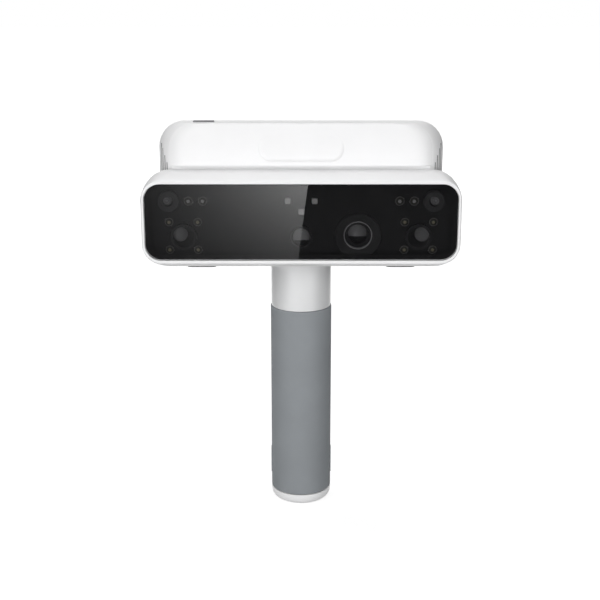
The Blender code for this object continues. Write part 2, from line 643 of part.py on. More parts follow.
def build_front_shell():
    steps = 4
    sections = [(WINDOW_FACE_Y, front_section(WINDOW_FACE_Y, BEZEL_EDGE))]
    sections += [(WINDOW_FACE_Y + BEZEL_EDGE * 0.3, front_section(WINDOW_FACE_Y, BEZEL_EDGE * 0.3))]
    for i in range(steps + 1):
        first = WINDOW_FACE_Y + BEZEL_EDGE
        y = first + (FLARE_END_Y - first) * i / steps
        sections.append((y, front_section(y)))
    edge_y = FRONT_SHELL_BACK_Y - BACK_EDGE_ROUND
    sections.append((edge_y, front_section(edge_y)))
    sections.append((edge_y + BACK_EDGE_ROUND * 0.7, front_section(edge_y, BACK_EDGE_ROUND * 0.3)))
    sections.append((FRONT_SHELL_BACK_Y, front_section(edge_y, BACK_EDGE_ROUND)))
    shell = loft("front_housing", sections)

    ys = [LEDGE_BACK_Y, LEDGE_BACK_Y + CAVITY_STEP, FLARE_END_Y, FRONT_SHELL_BACK_Y - SHELL_WALL]
    cavity = loft("front_cavity", [(y, front_section(y, SHELL_WALL, INNER_CORNER_STEPS)) for y in ys])
    glass_seat = window_slab("glass_seat", GAP, WINDOW_FACE_Y - PAST, LEDGE_FRONT_Y)
    ledge = window_slab("ledge_opening", -LEDGE_WIDTH, LEDGE_FRONT_Y - PAST, LEDGE_BACK_Y + PAST)
    cut(shell, glass_seat, ledge, cavity, back_opening("front_back_opening"))
    cut(shell, core_clearance("front_core_clearance"))
    smooth(shell)

    glass = window_slab("window_glass", 0.0, GLASS_FRONT_Y, GLASS_BACK_Y, "smoked_glass")
    bevel(smooth(glass), GLASS_EDGE, 1)


def build_rest_pads():
    """Two dark pads under the front of the head."""
    top = HEAD_BOTTOM - GAP
    for side, label in ((-1, "left"), (1, "right")):
        outline = rounded_outline(
            REST_PAD_HALF_LENGTH, -REST_PAD_WIDTH / 2, REST_PAD_WIDTH / 2,
            REST_PAD_WIDTH / 2 * NEARLY_ROUND, PAD_CORNER_STEPS,
        )
        pad = loft(f"rest_pad_{label}", [(-REST_PAD_THICKNESS, outline), (0, outline)], "dark_rubber")
        pad.data.transform(Matrix.Rotation(math.pi / 2, 4, "X"))
        pad.location = (side * REST_PAD_X, REST_PAD_Y, top)


# Optics

def led_places():
    """Name, x, z and radius of each light beside the cameras."""
    places = []
    for side, label in ((-1, "left"), (1, "right")):
        for number, x in enumerate(TRACK_LED_XS, 1):
            name = f"track_led_{label}_{number}"
            places.append((name, side * x, TRACK_CAMERA_Z, TRACK_LED_RADIUS))
        for number, (x, z) in enumerate([(x, z) for z in SCAN_LED_ZS for x in SCAN_LED_XS], 1):
            name = f"scan_led_{label}_{number}"
            places.append((name, side * x, z, SCAN_LED_RADIUS))
    return places


def camera_places():
    """Name, toe-in, x, z, barrel radius, lens radius, lens depth and back of each camera."""
    places = []
    for side, label in ((-1, "left"), (1, "right")):
        turn = -side * math.radians(SCAN_CAMERA_TOE_IN)
        sizes = (SCAN_CAMERA_RADIUS, SCAN_LENS_RADIUS, SCAN_LENS_DEPTH, SCAN_CAMERA_BACK_Y)
        places.append((f"scan_camera_{label}", turn, side * SCAN_CAMERA_X, SCAN_CAMERA_Z, *sizes))
        turn = -side * math.radians(TRACK_CAMERA_TOE_IN)
        sizes = (TRACK_CAMERA_RADIUS, TRACK_LENS_RADIUS, TRACK_LENS_DEPTH, TRACK_CAMERA_BACK_Y)
        places.append((f"track_camera_{label}", turn, side * TRACK_CAMERA_X, TRACK_CAMERA_Z, *sizes))
    sizes = (TEXTURE_CAMERA_RADIUS, TEXTURE_LENS_RADIUS, TEXTURE_LENS_DEPTH, TEXTURE_CAMERA_BACK_Y)
    places.append(("texture_camera", 0.0, 0.0, TEXTURE_CAMERA_Z, *sizes))
    return places


def lens_profile(radius, front):
    """A lens with a domed front face."""
    dome_steps = 3
    edge = front + LENS_DOME
    back = front + LENS_THICKNESS
    profile = [(0, front)]
    for i in range(1, dome_steps + 1):
        share = i / dome_steps
        profile.append((radius * share, front + (edge - front) * share * share))
    return profile + [(radius, back), (0, back)]


def build_optics_frame():
    frame = slab(
        "optics_frame", GLASS_HALF_WIDTH - FRAME_MARGIN, GLASS_LOW - FRAME_MARGIN,
        GLASS_HIGH + FRAME_MARGIN, FRAME_CORNER, FRAME_FRONT_Y, FRAME_BACK_Y, "black_plastic",
    )
    front = FRAME_FRONT_Y - PAST
    back = FRAME_BACK_Y + PAST
    holes = []
    for name, _, x, z, radius, *_ in camera_places():
        holes.append(disc(f"{name}_hole", radius + GAP, front, back, "Y", (x, 0, z)))
    for name, x, z, radius in led_places():
        holes.append(disc(f"{name}_hole", radius + GAP, front, back, "Y", (x, 0, z), LED_STEPS))
    place = (PROJECTOR_X, 0, PROJECTOR_Z)
    holes.append(disc("projector_hole", PROJECTOR_RADIUS + GAP, front, back, "Y", place, PROJECTOR_STEPS))
    half = EMITTER_SIDE / 2 + GAP
    for number, (x, z) in enumerate(EMITTER_PLACES, 1):
        holes.append(block(f"emitter_hole_{number}", (x - half, front, z - half), (x + half, back, z + half)))
    cut(frame, joined("optics_holes", holes))
    smooth(frame)


def build_cameras():
    """Barrels that sit square in the frame, each with its bore and lens turned in by its toe-in."""
    for name, turn, x, z, radius, lens, depth, back in camera_places():
        flange_y = FRAME_BACK_Y + GAP
        outer = [(0, CAMERA_FRONT_Y), (radius, CAMERA_FRONT_Y), (radius, flange_y)]
        outer += [(radius + CAMERA_FLANGE, flange_y), (radius + CAMERA_FLANGE, back), (0, back)]
        barrel = turned(name, outer, "black_metal", place=(x, 0, z))

        bore = lens + GAP
        seat = depth + LENS_THICKNESS + GAP
        mouth = max(radius - CAMERA_RIM, bore + GAP)
        hollow = [(0, seat), (bore, seat), (bore, depth)]
        hollow += [(mouth, CAMERA_MOUTH_STEP), (mouth, -PAST), (0, -PAST)]
        place = (x, CAMERA_FRONT_Y, z)
        tool = turned(f"{name}_bore", hollow, "black_metal", place=place)
        glass = turned(f"{name}_lens", lens_profile(lens, depth), "lens_glass", place=place, steps=LENS_STEPS)
        for body in (tool, glass):
            body.data.transform(Matrix.Rotation(turn, 4, "Z"))
        cut(barrel, tool)


def build_projector():
    place = (PROJECTOR_X, 0, PROJECTOR_Z)
    front = FRAME_FRONT_Y
    lens_y = front + PROJECTOR_LENS_DEPTH
    seat = lens_y + LENS_THICKNESS + GAP
    bore = PROJECTOR_LENS_RADIUS + GAP
    ring = PROJECTOR_RING_RADIUS
    ring_y = front + PROJECTOR_DISH_DEPTH
    floor_y = ring_y + PROJECTOR_RING_DEPTH
    barrel = [(0, seat), (bore, seat), (bore, floor_y), (ring, floor_y), (ring, ring_y)]
    barrel += [(ring + PROJECTOR_RING_WALL, ring_y), (PROJECTOR_RADIUS - PROJECTOR_RIM, front)]
    barrel += [(PROJECTOR_RADIUS, front), (PROJECTOR_RADIUS, PROJECTOR_BACK_Y), (0, PROJECTOR_BACK_Y)]
    turned("projector_barrel", barrel, "black_metal", place=place, steps=PROJECTOR_STEPS)

    profile = lens_profile(PROJECTOR_LENS_RADIUS, lens_y)
    lens = turned("projector_lens", profile, "lens_glass", place=place, steps=LENS_STEPS)
    flat = PROJECTOR_Z - PROJECTOR_LENS_RADIUS * PROJECTOR_LENS_CUT
    wide = PROJECTOR_LENS_RADIUS + PAST
    low = (PROJECTOR_X - wide, lens_y - PAST, PROJECTOR_Z - wide)
    high = (PROJECTOR_X + wide, seat + PAST, flat)
    cut(lens, block("projector_lens_flat", low, high))

    engine_back = PROJECTOR_BACK_Y + GAP + ENGINE_LENGTH
    engine = block(
        "projector_engine",
        (PROJECTOR_X - ENGINE_HALF_WIDTH, PROJECTOR_BACK_Y + GAP, PROJECTOR_Z - ENGINE_HALF_HEIGHT),
        (PROJECTOR_X + ENGINE_HALF_WIDTH, engine_back, PROJECTOR_Z + ENGINE_HALF_HEIGHT),
        "black_metal",
    )
    bevel(engine, ENGINE_EDGE)


def build_lights():
    for name, x, z, radius in led_places():
        rim = radius * LED_RIM
        shoulder_y = LED_FRONT_Y + 2 * LED_DOME
        profile = [(0, LED_FRONT_Y), (rim, LED_FRONT_Y + LED_DOME), (rim, shoulder_y), (radius, shoulder_y)]
        profile += [(radius, FRAME_BACK_Y), (0, FRAME_BACK_Y)]
        turned(name, profile, "led_lens", place=(x, 0, z), steps=LED_STEPS)
    half = EMITTER_SIDE / 2
    for number, (x, z) in enumerate(EMITTER_PLACES, 1):
        low = (x - half, LED_FRONT_Y, z - half)
        high = (x + half, FRAME_BACK_Y, z + half)
        bevel(block(f"emitter_{number}", low, high, "emitter"), EMITTER_EDGE, 1)


# Rear box

def roll(y, start, end, size):
    """How far an elliptic roll of the given size has come in at y."""
    share = min(1.0, max(0.0, (y - start) / (end - start)))
    return size * (1 - math.sqrt(max(0.0, 1 - share * share)))


def box_half(y, inset=0.0):
    """The rear box's half width at y: an arc in plan in front and a roll at the back."""
    if y >= BOX_PLAN_Y:
        return BOX_HALF_WIDTH - inset - roll(y, SIDE_ROLL_Y, BOX_BACK_Y - inset, SIDE_ROLL_INSET)
    radius = BOX_PLAN_RADIUS - inset
    reach = min(radius, BOX_PLAN_Y - y)
    return BOX_HALF_WIDTH - BOX_PLAN_RADIUS + math.sqrt(radius**2 - reach**2)


def box_section(y, inset=0.0, edge=0.0, steps=CORNER_STEPS):
    """The rear box's outline at y, drawn in by inset (its back plane too) and by edge."""
    back = BOX_BACK_Y - inset
    half = box_half(y, inset)
    low = HEAD_BOTTOM + inset + roll(y, BOTTOM_ROLL_Y, back, BOTTOM_ROLL_RISE)
    high = BOX_TOP - inset - roll(y, TOP_ROLL_Y, back, TOP_ROLL_DROP)
    corner = BOX_CORNER - inset
    return rounded_outline(half - edge, low + edge, high - edge, corner - edge, steps)


def box_stations(front, back, arc_steps, roll_steps):
    """Places along y for the box's sections: even turns of the front arc and the roll."""
    start = math.asin(min(1.0, (BOX_PLAN_Y - front) / BOX_PLAN_RADIUS))
    stations = []
    for i in range(arc_steps):
        stations.append(BOX_PLAN_Y - BOX_PLAN_RADIUS * math.sin(start * (1 - i / arc_steps)))
    for i in range(roll_steps + 1):
        y = TOP_ROLL_Y + (back - TOP_ROLL_Y) * math.sin(math.pi / 2 * i / roll_steps)
        if y > stations[-1] + BITE or i > roll_steps - 3:
            stations.append(y)
    return stations


def vent_slots():
    """Upright slots round each rear corner of the flank, cut square to the surface."""
    slots = []
    turn = VENT_PITCH / BOX_PLAN_RADIUS
    start = math.radians(VENT_START_ANGLE)
    for side in (-1, 1):
        for i in range(VENT_COUNT):
            angle = start - i * turn
            top = min(VENT_TOP, VENT_FIRST_TOP + i * VENT_TOP_STEP)
            low = (-VENT_CUT_DEPTH / 2, -VENT_WIDTH / 2, VENT_LOW)
            high = (VENT_CUT_DEPTH / 2, VENT_WIDTH / 2, top)
            slot = block(f"vent_{side}_{i}", low, high)
            x = BOX_HALF_WIDTH - BOX_PLAN_RADIUS + BOX_PLAN_RADIUS * math.cos(max(0.0, angle))
            y = BOX_PLAN_Y - BOX_PLAN_RADIUS * (math.sin(angle) if angle > 0 else angle)
            heading = side * max(0.0, angle)
            slot.data.transform(Matrix.Rotation(-heading, 4, "Z"))
            slot.location = (side * x, y, 0)
            slots.append(slot)
    return joined("vents", slots)


def rear_posts():
    """Posts on the back wall that carry the two boards."""
    wall = BACK_INNER_Y + SHELL_WALL / 2
    board_back = MAIN_BOARD_BACK_Y + GAP
    posts = []
    for x in (-MAIN_POST_X, MAIN_POST_X):
        for z in MAIN_POST_ZS:
            place = (x, 0, z)
            posts.append(disc("post", MAIN_POST_RADIUS, board_back, wall, "Y", place, POST_STEPS))
    key_back = KEY_BOARD_Y + KEY_BOARD_THICKNESS
    for x in (-KEY_POST_X, KEY_POST_X):
        for z in (KEY_BOARD_LOW + KEY_POST_MARGIN, KEY_BOARD_HIGH - KEY_POST_MARGIN):
            posts.append(disc("post", KEY_POST_RADIUS, key_back + GAP, wall, "Y", (x, 0, z), POST_STEPS))
    return joined("board_posts", posts)


def key_places():
    """Name, x and radius of each key on the back."""
    return (
        ("scan_key", 0.0, SCAN_KEY_RADIUS),
        ("down_key", -ARROW_KEY_X, ARROW_KEY_RADIUS),
        ("up_key", ARROW_KEY_X, ARROW_KEY_RADIUS),
    )


def key_holes(name):
    start = KEY_FLANGE_Y
    end = BOX_BACK_Y + PAST
    holes = []
    for _, x, radius in key_places():
        holes.append(disc("key_hole", radius + GAP, start, end, "Y", (x, 0, KEY_Z), KEY_STEPS))
    return joined(name, holes)


def build_rear_shell():
    ys = box_stations(REAR_SHELL_FRONT_Y, BOX_BACK_Y, 5, 11)
    shell = loft("rear_housing", [(y, box_section(y)) for y in ys], "pale_grey_plastic")

    cavity_front = REAR_SHELL_FRONT_Y + BAR_THICKNESS
    inner_ys = box_stations(cavity_front, BACK_INNER_Y, 4, 6)
    cavity = loft("rear_cavity", [(y, box_section(y, SHELL_WALL, 0.0, INNER_CORNER_STEPS)) for y in inner_ys])
    wide = BOX_HALF_WIDTH + PAST
    step = block(
        "cover_step", (-wide, FRONT_SHELL_BACK_Y - PAST, COVER_BOTTOM - GAP),
        (wide, COVER_BACK_Y + GAP, BOX_TOP + PAST),
    )
    upper = slab(
        "upper_opening", OPENING_HALF, UPPER_OPENING_LOW, BOX_TOP - 2 * SHELL_WALL,
        OPENING_CORNER, FRONT_SHELL_BACK_Y - PAST, cavity_front + PAST,
    )
    cut(shell, cavity, step, back_opening("rear_lower_opening"), upper)
    cut(shell, core_clearance("rear_core_clearance"))
    fuse(shell, rear_posts())
    panel_seat = slab(
        "panel_seat", PANEL_HALF_WIDTH + GAP, PANEL_LOW - GAP, PANEL_HIGH + GAP,
        PANEL_CORNER + GAP, PANEL_SEAT_Y, BOX_BACK_Y + PAST,
    )
    cut(shell, panel_seat, key_holes("shell_key_holes"), vent_slots(), power_key_body("power_key_hole", GAP))
    smooth(shell)


def label_pad():
    """The plain raised pad on the face, which fades out towards its top."""
    outline = rounded_outline(PAD_HALF_WIDTH, PAD_LOW, PAD_HIGH, PAD_CORNER)
    pad = loft("label_pad", [(BOX_FACE_Y - PAD_PROUD, outline), (BOX_FACE_Y + PAD_PROUD, outline)])
    for vert in pad.data.vertices:
        if vert.co.y < BOX_FACE_Y:
            rise = (vert.co.z - PAD_LOW) / (PAD_HIGH - PAD_LOW)
            vert.co.y = BOX_FACE_Y - PAD_PROUD * (1 - rise) + PAD_FADE * rise
    return pad


def build_face_cover():
    steps = 6
    start = math.acos(1 - COVER_THICKNESS / BOX_PLAN_RADIUS)
    ys = [BOX_PLAN_Y - BOX_PLAN_RADIUS * math.cos(start * i / steps) for i in range(1, steps + 1)]
    sections = [(BOX_FACE_Y, box_section(BOX_FACE_Y, 0, COVER_EDGE))]
    sections += [(y, box_section(y)) for y in ys]
    cover = loft("face_cover", sections)
    wide = BOX_HALF_WIDTH + PAST
    below = block(
        "below_cover", (-wide, BOX_FACE_Y - PAST, HEAD_BOTTOM - PAST),
        (wide, COVER_BACK_Y + PAST, COVER_BOTTOM),
    )
    cut(cover, below)
    fuse(cover, label_pad())
    smooth(cover)


# Keys

def build_key(name, x, radius):
    """A round key with a flange that holds it behind the back wall."""
    face = BOX_BACK_Y + KEY_PROUD
    profile = [(0, KEY_FLANGE_Y), (radius + KEY_FLANGE, KEY_FLANGE_Y)]
    profile += [(radius + KEY_FLANGE, KEY_FLANGE_Y + KEY_FLANGE_THICKNESS)]
    profile += [(radius, KEY_FLANGE_Y + KEY_FLANGE_THICKNESS), (radius, face - KEY_EDGE)]
    profile += [(radius - KEY_EDGE, face), (radius * KEY_DISH_SHARE, face), (0, face - KEY_DISH)]
    shifted = [(r, y - face) for r, y in profile]
    return turned(name, shifted, "key_plastic", place=(x, face, KEY_Z), steps=KEY_STEPS)


def power_key_body(name, grow):
    """The upright part of the power key, or its hole when grown."""
    half_width = POWER_KEY_WIDTH / 2 + grow
    half_depth = POWER_KEY_DEPTH / 2 + grow
    low = BOX_TOP - SHELL_WALL - 2 * GAP - (PAST if grow else 0.0)
    high = BOX_TOP + (PAST if grow else POWER_KEY_PROUD)
    return block(
        name, (POWER_KEY_X - half_width, POWER_KEY_Y - half_depth, low),
        (POWER_KEY_X + half_width, POWER_KEY_Y + half_depth, high), "key_plastic",
    )


def build_power_key():
    key = power_key_body("power_key", 0.0)
    half_width = POWER_KEY_WIDTH / 2 + KEY_FLANGE
    half_depth = POWER_KEY_DEPTH / 2 + KEY_FLANGE
    top = BOX_TOP - SHELL_WALL - 1.5 * GAP
    flange = block(
        "power_key_flange",
        (POWER_KEY_X - half_width, POWER_KEY_Y - half_depth, top - KEY_FLANGE_THICKNESS),
        (POWER_KEY_X + half_width, POWER_KEY_Y + half_depth, top),
    )
    fuse(key, flange)


def build_keypad():
    panel = slab(
        "keypad_panel", PANEL_HALF_WIDTH, PANEL_LOW, PANEL_HIGH, PANEL_CORNER,
        PANEL_SEAT_Y + GAP, PANEL_FACE_Y, "panel_black",
    )
    light_hole = status_slab("status_hole", GAP, PANEL_SEAT_Y, BOX_BACK_Y + PAST)
    cut(panel, key_holes("panel_key_holes"), light_hole)
    smooth(panel)
    for name, x, radius in key_places():
        build_key(name, x, radius)
    light_face = PANEL_FACE_Y + STATUS_LIGHT_PROUD
    smooth(status_slab("status_light", 0.0, PANEL_SEAT_Y + GAP, light_face, "led_lens"))


def status_slab(name, grow, front, back, look="white_plastic"):
    half_height = STATUS_LIGHT_HEIGHT / 2 + grow
    return slab(
        name, STATUS_LIGHT_HALF + grow, STATUS_LIGHT_Z - half_height, STATUS_LIGHT_Z + half_height,
        half_height * NEARLY_ROUND, front, back, look, 4,
    )


# Boards and cooling

def build_boards():
    board = slab(
        "main_board", MAIN_BOARD_HALF_WIDTH, MAIN_BOARD_LOW, MAIN_BOARD_HIGH, BOARD_CORNER,
        MAIN_BOARD_Y, MAIN_BOARD_BACK_Y, "board_green", 2,
    )
    smooth(board)
    slab(
        "key_board", KEY_BOARD_HALF_WIDTH, KEY_BOARD_LOW, KEY_BOARD_HIGH, KEY_BOARD_CORNER,
        KEY_BOARD_Y, KEY_BOARD_Y + KEY_BOARD_THICKNESS, "board_green", 2,
    )


def build_heat_sink():
    """A comb of upright fins on the front of the main board."""
    back = MAIN_BOARD_Y - GAP
    root = back - SINK_BASE
    tip = root - SINK_FIN_LENGTH
    pitch = (2 * SINK_HALF_WIDTH - SINK_FIN_THICKNESS) / (SINK_FINS - 1)
    outline = [(SINK_HALF_WIDTH, back), (-SINK_HALF_WIDTH, back)]
    for i in range(SINK_FINS):
        left = -SINK_HALF_WIDTH + i * pitch
        right = left + SINK_FIN_THICKNESS
        if i:
            outline.append((left, root))
        outline += [(left, tip), (right, tip)]
        if i < SINK_FINS - 1:
            outline.append((right, root))
    bm = bmesh.new()
    rings = [[bm.verts.new((x, y, z)) for x, y in outline] for z in (SINK_LOW, SINK_HIGH)]
    for ring in rings:
        bm.faces.new(ring)
    for i in range(len(outline)):
        j = (i + 1) % len(outline)
        bm.faces.new((rings[0][i], rings[0][j], rings[1][j], rings[1][i]))
    add_object("heat_sink", bm, "bare_aluminium")


def build_fan():
    place = (0, FAN_Y, FAN_Z)
    half = FAN_SIDE / 2
    wall = min(box_half(FAN_Y - half, SHELL_WALL), box_half(FAN_Y + half, SHELL_WALL))
    outer_x = FACET_ROOM + GAP - wall
    inner_x = outer_x + FAN_THICKNESS
    frame = block(
        "fan_frame", (outer_x, FAN_Y - half, FAN_Z - half),
        (inner_x, FAN_Y + half, FAN_Z + half), "panel_black",
    )
    bore = disc("fan_bore", FAN_BORE, outer_x - PAST, inner_x + PAST, "X", place)
    arm_front = inner_x - FAN_ARM_THICKNESS
    seat = disc("fan_motor_seat", FAN_HUB + FAN_SEAT_RIM, arm_front, inner_x, "X", place, HUB_STEPS)
    arms = []
    for i in range(FAN_ARM_COUNT):
        arm = block(
            f"fan_arm_{i}", (FAN_ARM_SKIN, -FAN_ARM_WIDTH / 2, FAN_HUB - BITE),
            (FAN_ARM_THICKNESS - FAN_ARM_SKIN, FAN_ARM_WIDTH / 2, FAN_BORE + BITE / 2),
        )
        arm.data.transform(Matrix.Rotation(2 * math.pi / FAN_ARM_COUNT * i, 4, "X"))
        arm.location = (arm_front, FAN_Y, FAN_Z)
        arms.append(arm)
    cut(frame, bore)
    fuse(frame, joined("fan_arms", arms), seat)
    smooth(frame)

    hub_back = inner_x - FAN_ARM_THICKNESS - GAP
    hub_front = outer_x + FAN_HUB_RECESS
    middle = (hub_front + hub_back) / 2
    reach = (hub_back - hub_front) / 2
    rotor = disc("fan_rotor", FAN_HUB, -reach, reach, "X", (middle, FAN_Y, FAN_Z), HUB_STEPS, "key_plastic")
    blades = []
    for i in range(FAN_BLADES):
        blade = block(
            f"blade_{i}", (-FAN_BLADE_CHORD / 2, -FAN_BLADE_THICKNESS / 2, FAN_HUB - BITE),
            (FAN_BLADE_CHORD / 2, FAN_BLADE_THICKNESS / 2, FAN_BORE - FAN_TIP_GAP),
        )
        blade.data.transform(Matrix.Rotation(math.radians(FAN_BLADE_PITCH), 4, "Z"))
        blade.data.transform(Matrix.Rotation(2 * math.pi / FAN_BLADES * i, 4, "X"))
        blade.location = (middle, FAN_Y, FAN_Z)
        blades.append(blade)
    fuse(rotor, joined("fan_blades", blades))


def main():
    clear_scene()
    build_handle()
    build_front_shell()
    build_rest_pads()
    build_optics_frame()
    build_cameras()
    build_projector()
    build_lights()
    build_rear_shell()
    build_face_cover()
    build_keypad()
    build_power_key()
    build_boards()
    build_heat_sink()
    build_fan()


main()
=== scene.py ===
"""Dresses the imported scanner: materials, finer pieces, floor, light and camera."""
import json
import math

import bmesh
import bpy
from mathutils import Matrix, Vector


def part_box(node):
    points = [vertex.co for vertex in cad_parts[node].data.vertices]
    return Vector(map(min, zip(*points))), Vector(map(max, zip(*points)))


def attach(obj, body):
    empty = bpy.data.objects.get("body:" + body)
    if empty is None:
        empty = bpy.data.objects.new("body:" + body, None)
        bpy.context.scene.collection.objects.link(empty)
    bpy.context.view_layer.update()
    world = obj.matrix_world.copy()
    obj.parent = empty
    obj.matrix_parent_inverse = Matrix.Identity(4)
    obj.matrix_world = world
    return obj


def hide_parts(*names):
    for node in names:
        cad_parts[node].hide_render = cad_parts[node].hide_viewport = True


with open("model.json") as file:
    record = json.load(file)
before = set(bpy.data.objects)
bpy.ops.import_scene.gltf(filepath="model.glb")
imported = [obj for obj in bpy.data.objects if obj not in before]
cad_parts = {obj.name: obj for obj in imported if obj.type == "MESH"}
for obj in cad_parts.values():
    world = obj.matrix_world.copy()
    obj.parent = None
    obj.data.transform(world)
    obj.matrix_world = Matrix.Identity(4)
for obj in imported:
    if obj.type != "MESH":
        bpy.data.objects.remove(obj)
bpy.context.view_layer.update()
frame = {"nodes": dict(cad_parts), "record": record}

MM = 0.001
ROOT_BODY = "scanner_body"
SMOOTH_ANGLE = math.radians(34)
CORNER_STEPS = 10

# The photograph's camera, fitted to the curved seams of the grip
CAMERA_PLACE = (-0.7 * MM, -689.5 * MM, 332.5 * MM)
CAMERA_TILT = math.radians(73.77)
CAMERA_LENS = 68.7
SENSOR_WIDTH = 36.0
CAMERA_CLIP = 10 * MM

# A material's noise: the part of its range that is used, and how fine it is
NOISE_LOW = 0.3
NOISE_HIGH = 0.7
DRIFT_DETAIL = 4.0
GRAIN_DETAIL = 2.0
ROUGHNESS_FLOOR = 0.01

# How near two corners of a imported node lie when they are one
WELD_DISTANCE = 0.001 * MM

# The border printed on the back of the window
BORDER_WIDTH = 2.9 * MM
BORDER_EDGE = 0.15 * MM
BORDER_GAP = 0.05 * MM
BORDER_BACK = 0.15 * MM
WINDOW_CORNER = 9.2 * MM

# A diode: the rim's and the die's profiles are shares of its radius, with heights in mm that are
# taken from the dome's base for the rim and from the diode's top for the die
LED_DOME_RISE = 0.9 * MM
LED_DOME_SHARE = 0.76
LED_DOME_STEPS = 6
LED_RIM = ((0.80, -0.2), (0.80, 0.4), (0.86, 0.5), (0.97, 0.4), (0.97, -0.2))
LED_DIE = ((0, -0.35), (0.36, -0.35), (0.36, 0), (0.28, 0.1), (0, 0.12))
LED_STEPS = 40
DIE_STEPS = 20

# The tracking cameras: iris rings, each with its radius and width as shares of the lens's radius,
# and the flat ring round the lens
IRIS_RINGS = ((0.8, 0.07), (0.4, 0.09))
IRIS_THICKNESS = 0.25 * MM
IRIS_BITE = 0.05 * MM
IRIS_STEPS = 40
FACE_RING_INNER = 2.95 * MM
FACE_RING_OUTER = 6.1 * MM
FACE_RING_PROUD = 0.12 * MM
FACE_RING_BEVEL = 0.15 * MM
FACE_RING_STEPS = 64

# The projector's ring: radius and reach in mm, and how much thicker it grows towards its foot
PROJECTOR_RING = ((8.45, -3.15), (8.45, -1.9), (8.15, -1.75), (7.9, -1.9), (7.9, -3.15))
PROJECTOR_RING_OUTER = 8.45 * MM
PROJECTOR_RING_INSIDE = 8.3 * MM
PROJECTOR_RING_GROWTH = 0.05
PROJECTOR_RING_STEPS = 96

# The dark plate that paints shade on the lower part of the texture camera's lens: its drop and radius as
# shares of the lens's radius, and how far its front and back stand before the lens
SHADE_PLATE_DROP = 0.41
SHADE_PLATE_SHARE = 0.95
SHADE_PLATE_STEPS = 24
SHADE_PLATE_FRONT = 0.35 * MM
SHADE_PLATE_BACK = 0.15 * MM

# The pad on the face: each step of its roll gives an inset and a bulge in mm
PAD_HALF_WIDTH = 25 * MM
PAD_RISE = 3.2 * MM
PAD_DROP = 7.0 * MM
PAD_CORNER = 7.0 * MM
PAD_PROUD = 0.9 * MM
PAD_SKIN = 0.03 * MM
PAD_BITE = 0.3 * MM
PAD_OUTSET = -0.15
PAD_ROLL = ((0.0, 0.1), (0.4, 0.42), (0.9, 0.68), (1.5, 0.86), (2.2, 0.97), (3.0, 1.0))

# The vents, as the rear housing has them, and the grey strips in the foremost ones, whose grey paints
# the shade seen in these vents; the strips' section in mm
PLAN_RADIUS = 18 * MM
VENT_START = math.radians(47)
VENT_PITCH = 2.04 * MM
VENT_STEP = 4.0 * MM
VENT_LOW_Z = 186.1 * MM
VENT_FIRST_TOP_Z = 220.2 * MM
VENT_TOP_Z = 231.0 * MM
SHADE_STRIP_COUNT = 4
SHADE_STRIP_GAP = 0.1 * MM
SHADE_STRIP_DEPTHS = (0.12, 0.5)
SHADE_STRIP_HALF_WIDTH = 0.44

# The filter mat behind the right flank
MAT_SETBACK = 9.5 * MM
MAT_FRONT = -7.0 * MM
MAT_BACK = 20.0 * MM
MAT_FOOT_GAP = 1.5 * MM
MAT_HEAD_GAP = 1.0 * MM
MAT_CORNER = 3 * MM
MAT_THICKNESS = 0.8 * MM
MAT_RIBS = 9
MAT_RIB_HALF = 0.4 * MM
MAT_RIB_PROUD = 0.4 * MM
MAT_RIB_GAP = 4 * MM

# The rear keys and their marks, the marks in mm from the key's middle
KEY_DISH = 0.5 * MM
KEY_SETBACK = 0.05 * MM
KEY_ROUND = 0.6 * MM
KEY_ROUND_STEPS = 5
KEY_LAND = 1.0 * MM
KEY_LIP = 0.03 * MM
KEY_DISH_STEPS = 6
KEY_STEPS = 64
MARK_BITE = 0.1 * MM
MARK_PROUD = 0.14 * MM
BAR = ((-2.2, -0.35), (2.2, -0.35), (2.2, 0.35), (-2.2, 0.35))
CROSS_BAR = ((-0.35, -2.2), (0.35, -2.2), (0.35, 2.2), (-0.35, 2.2))
TRIANGLE = ((-1.8, -2.4), (2.6, 0.0), (-1.8, 2.4))

# The screw plugs: radius and height in mm from the back
PLUG_X = 58 * MM
PLUG_LOW_Z = 180 * MM
PLUG_HIGH_Z = 222 * MM
PLUG_PROFILE = ((0, -0.4), (3.0, -0.4), (3.0, 0.02), (2.8, 0.16), (1.6, 0.22), (1.3, 0.12), (0, 0.1))
PLUG_STEPS = 48

# The stage
WORLD_LIGHT = 0.06
WORLD_SIDE_SHARE = 0.3
WORLD_FALL = (0.2, 0.9)
FLOOR_GLOW = 0.78
FLOOR_ANSWER = 0.4
FLOOR_BOUNCE = 0.4
FLOOR_RISE = (0.2, 1.0)
FLOOR_HALF = 6.0
FLOOR_Z = -0.05 * MM
CARD_Y = -500 * MM
CARD_LOW = 40 * MM
CARD_HIGH = 134 * MM
CARD_SIDE = 176 * MM
CARD_EDGE_LOW = -3.8 * MM
CARD_EDGE_HIGH = 8.3 * MM
SOFT_BOX_ACROSS = (-0.1563, 0.003)
SOFT_BOX_UP = (0.0482, 0.1254)
SOFT_BOX_LEVEL = {"base": 0.12, "across": 0.29, "up": 0.11, "both": 0.24}
SOFT_BOX_POWER = 2.3
SOFT_BOX_GLOW = 7.7
FLAG_X = 320 * MM
FLAG_NEAR = -250 * MM
FLAG_FAR = 900 * MM
FLAG_TOP = 500 * MM
LAMP_TARGET = (0, 0, 0.15)
LAMPS = (
    ("low_light", (-0.3, -1.5, 0.08), 0.6, 15.6),
    ("right_light", (0.65, -1.3, 0.9), 0.8, 7.6),
    ("left_light", (-1.1, -0.8, 0.9), 0.8, 6.9),
    ("front_top_light", (0.0, -0.8, 1.4), 0.8, 1.9),
    ("top_light", (0.0, 0.35, 1.6), 0.8, 7.2),
    ("back_left_light", (-1.05, 1.3, 0.35), 0.8, 10.5),
    ("back_right_light", (1.05, 1.3, 0.35), 0.8, 10.5),
)


# Materials

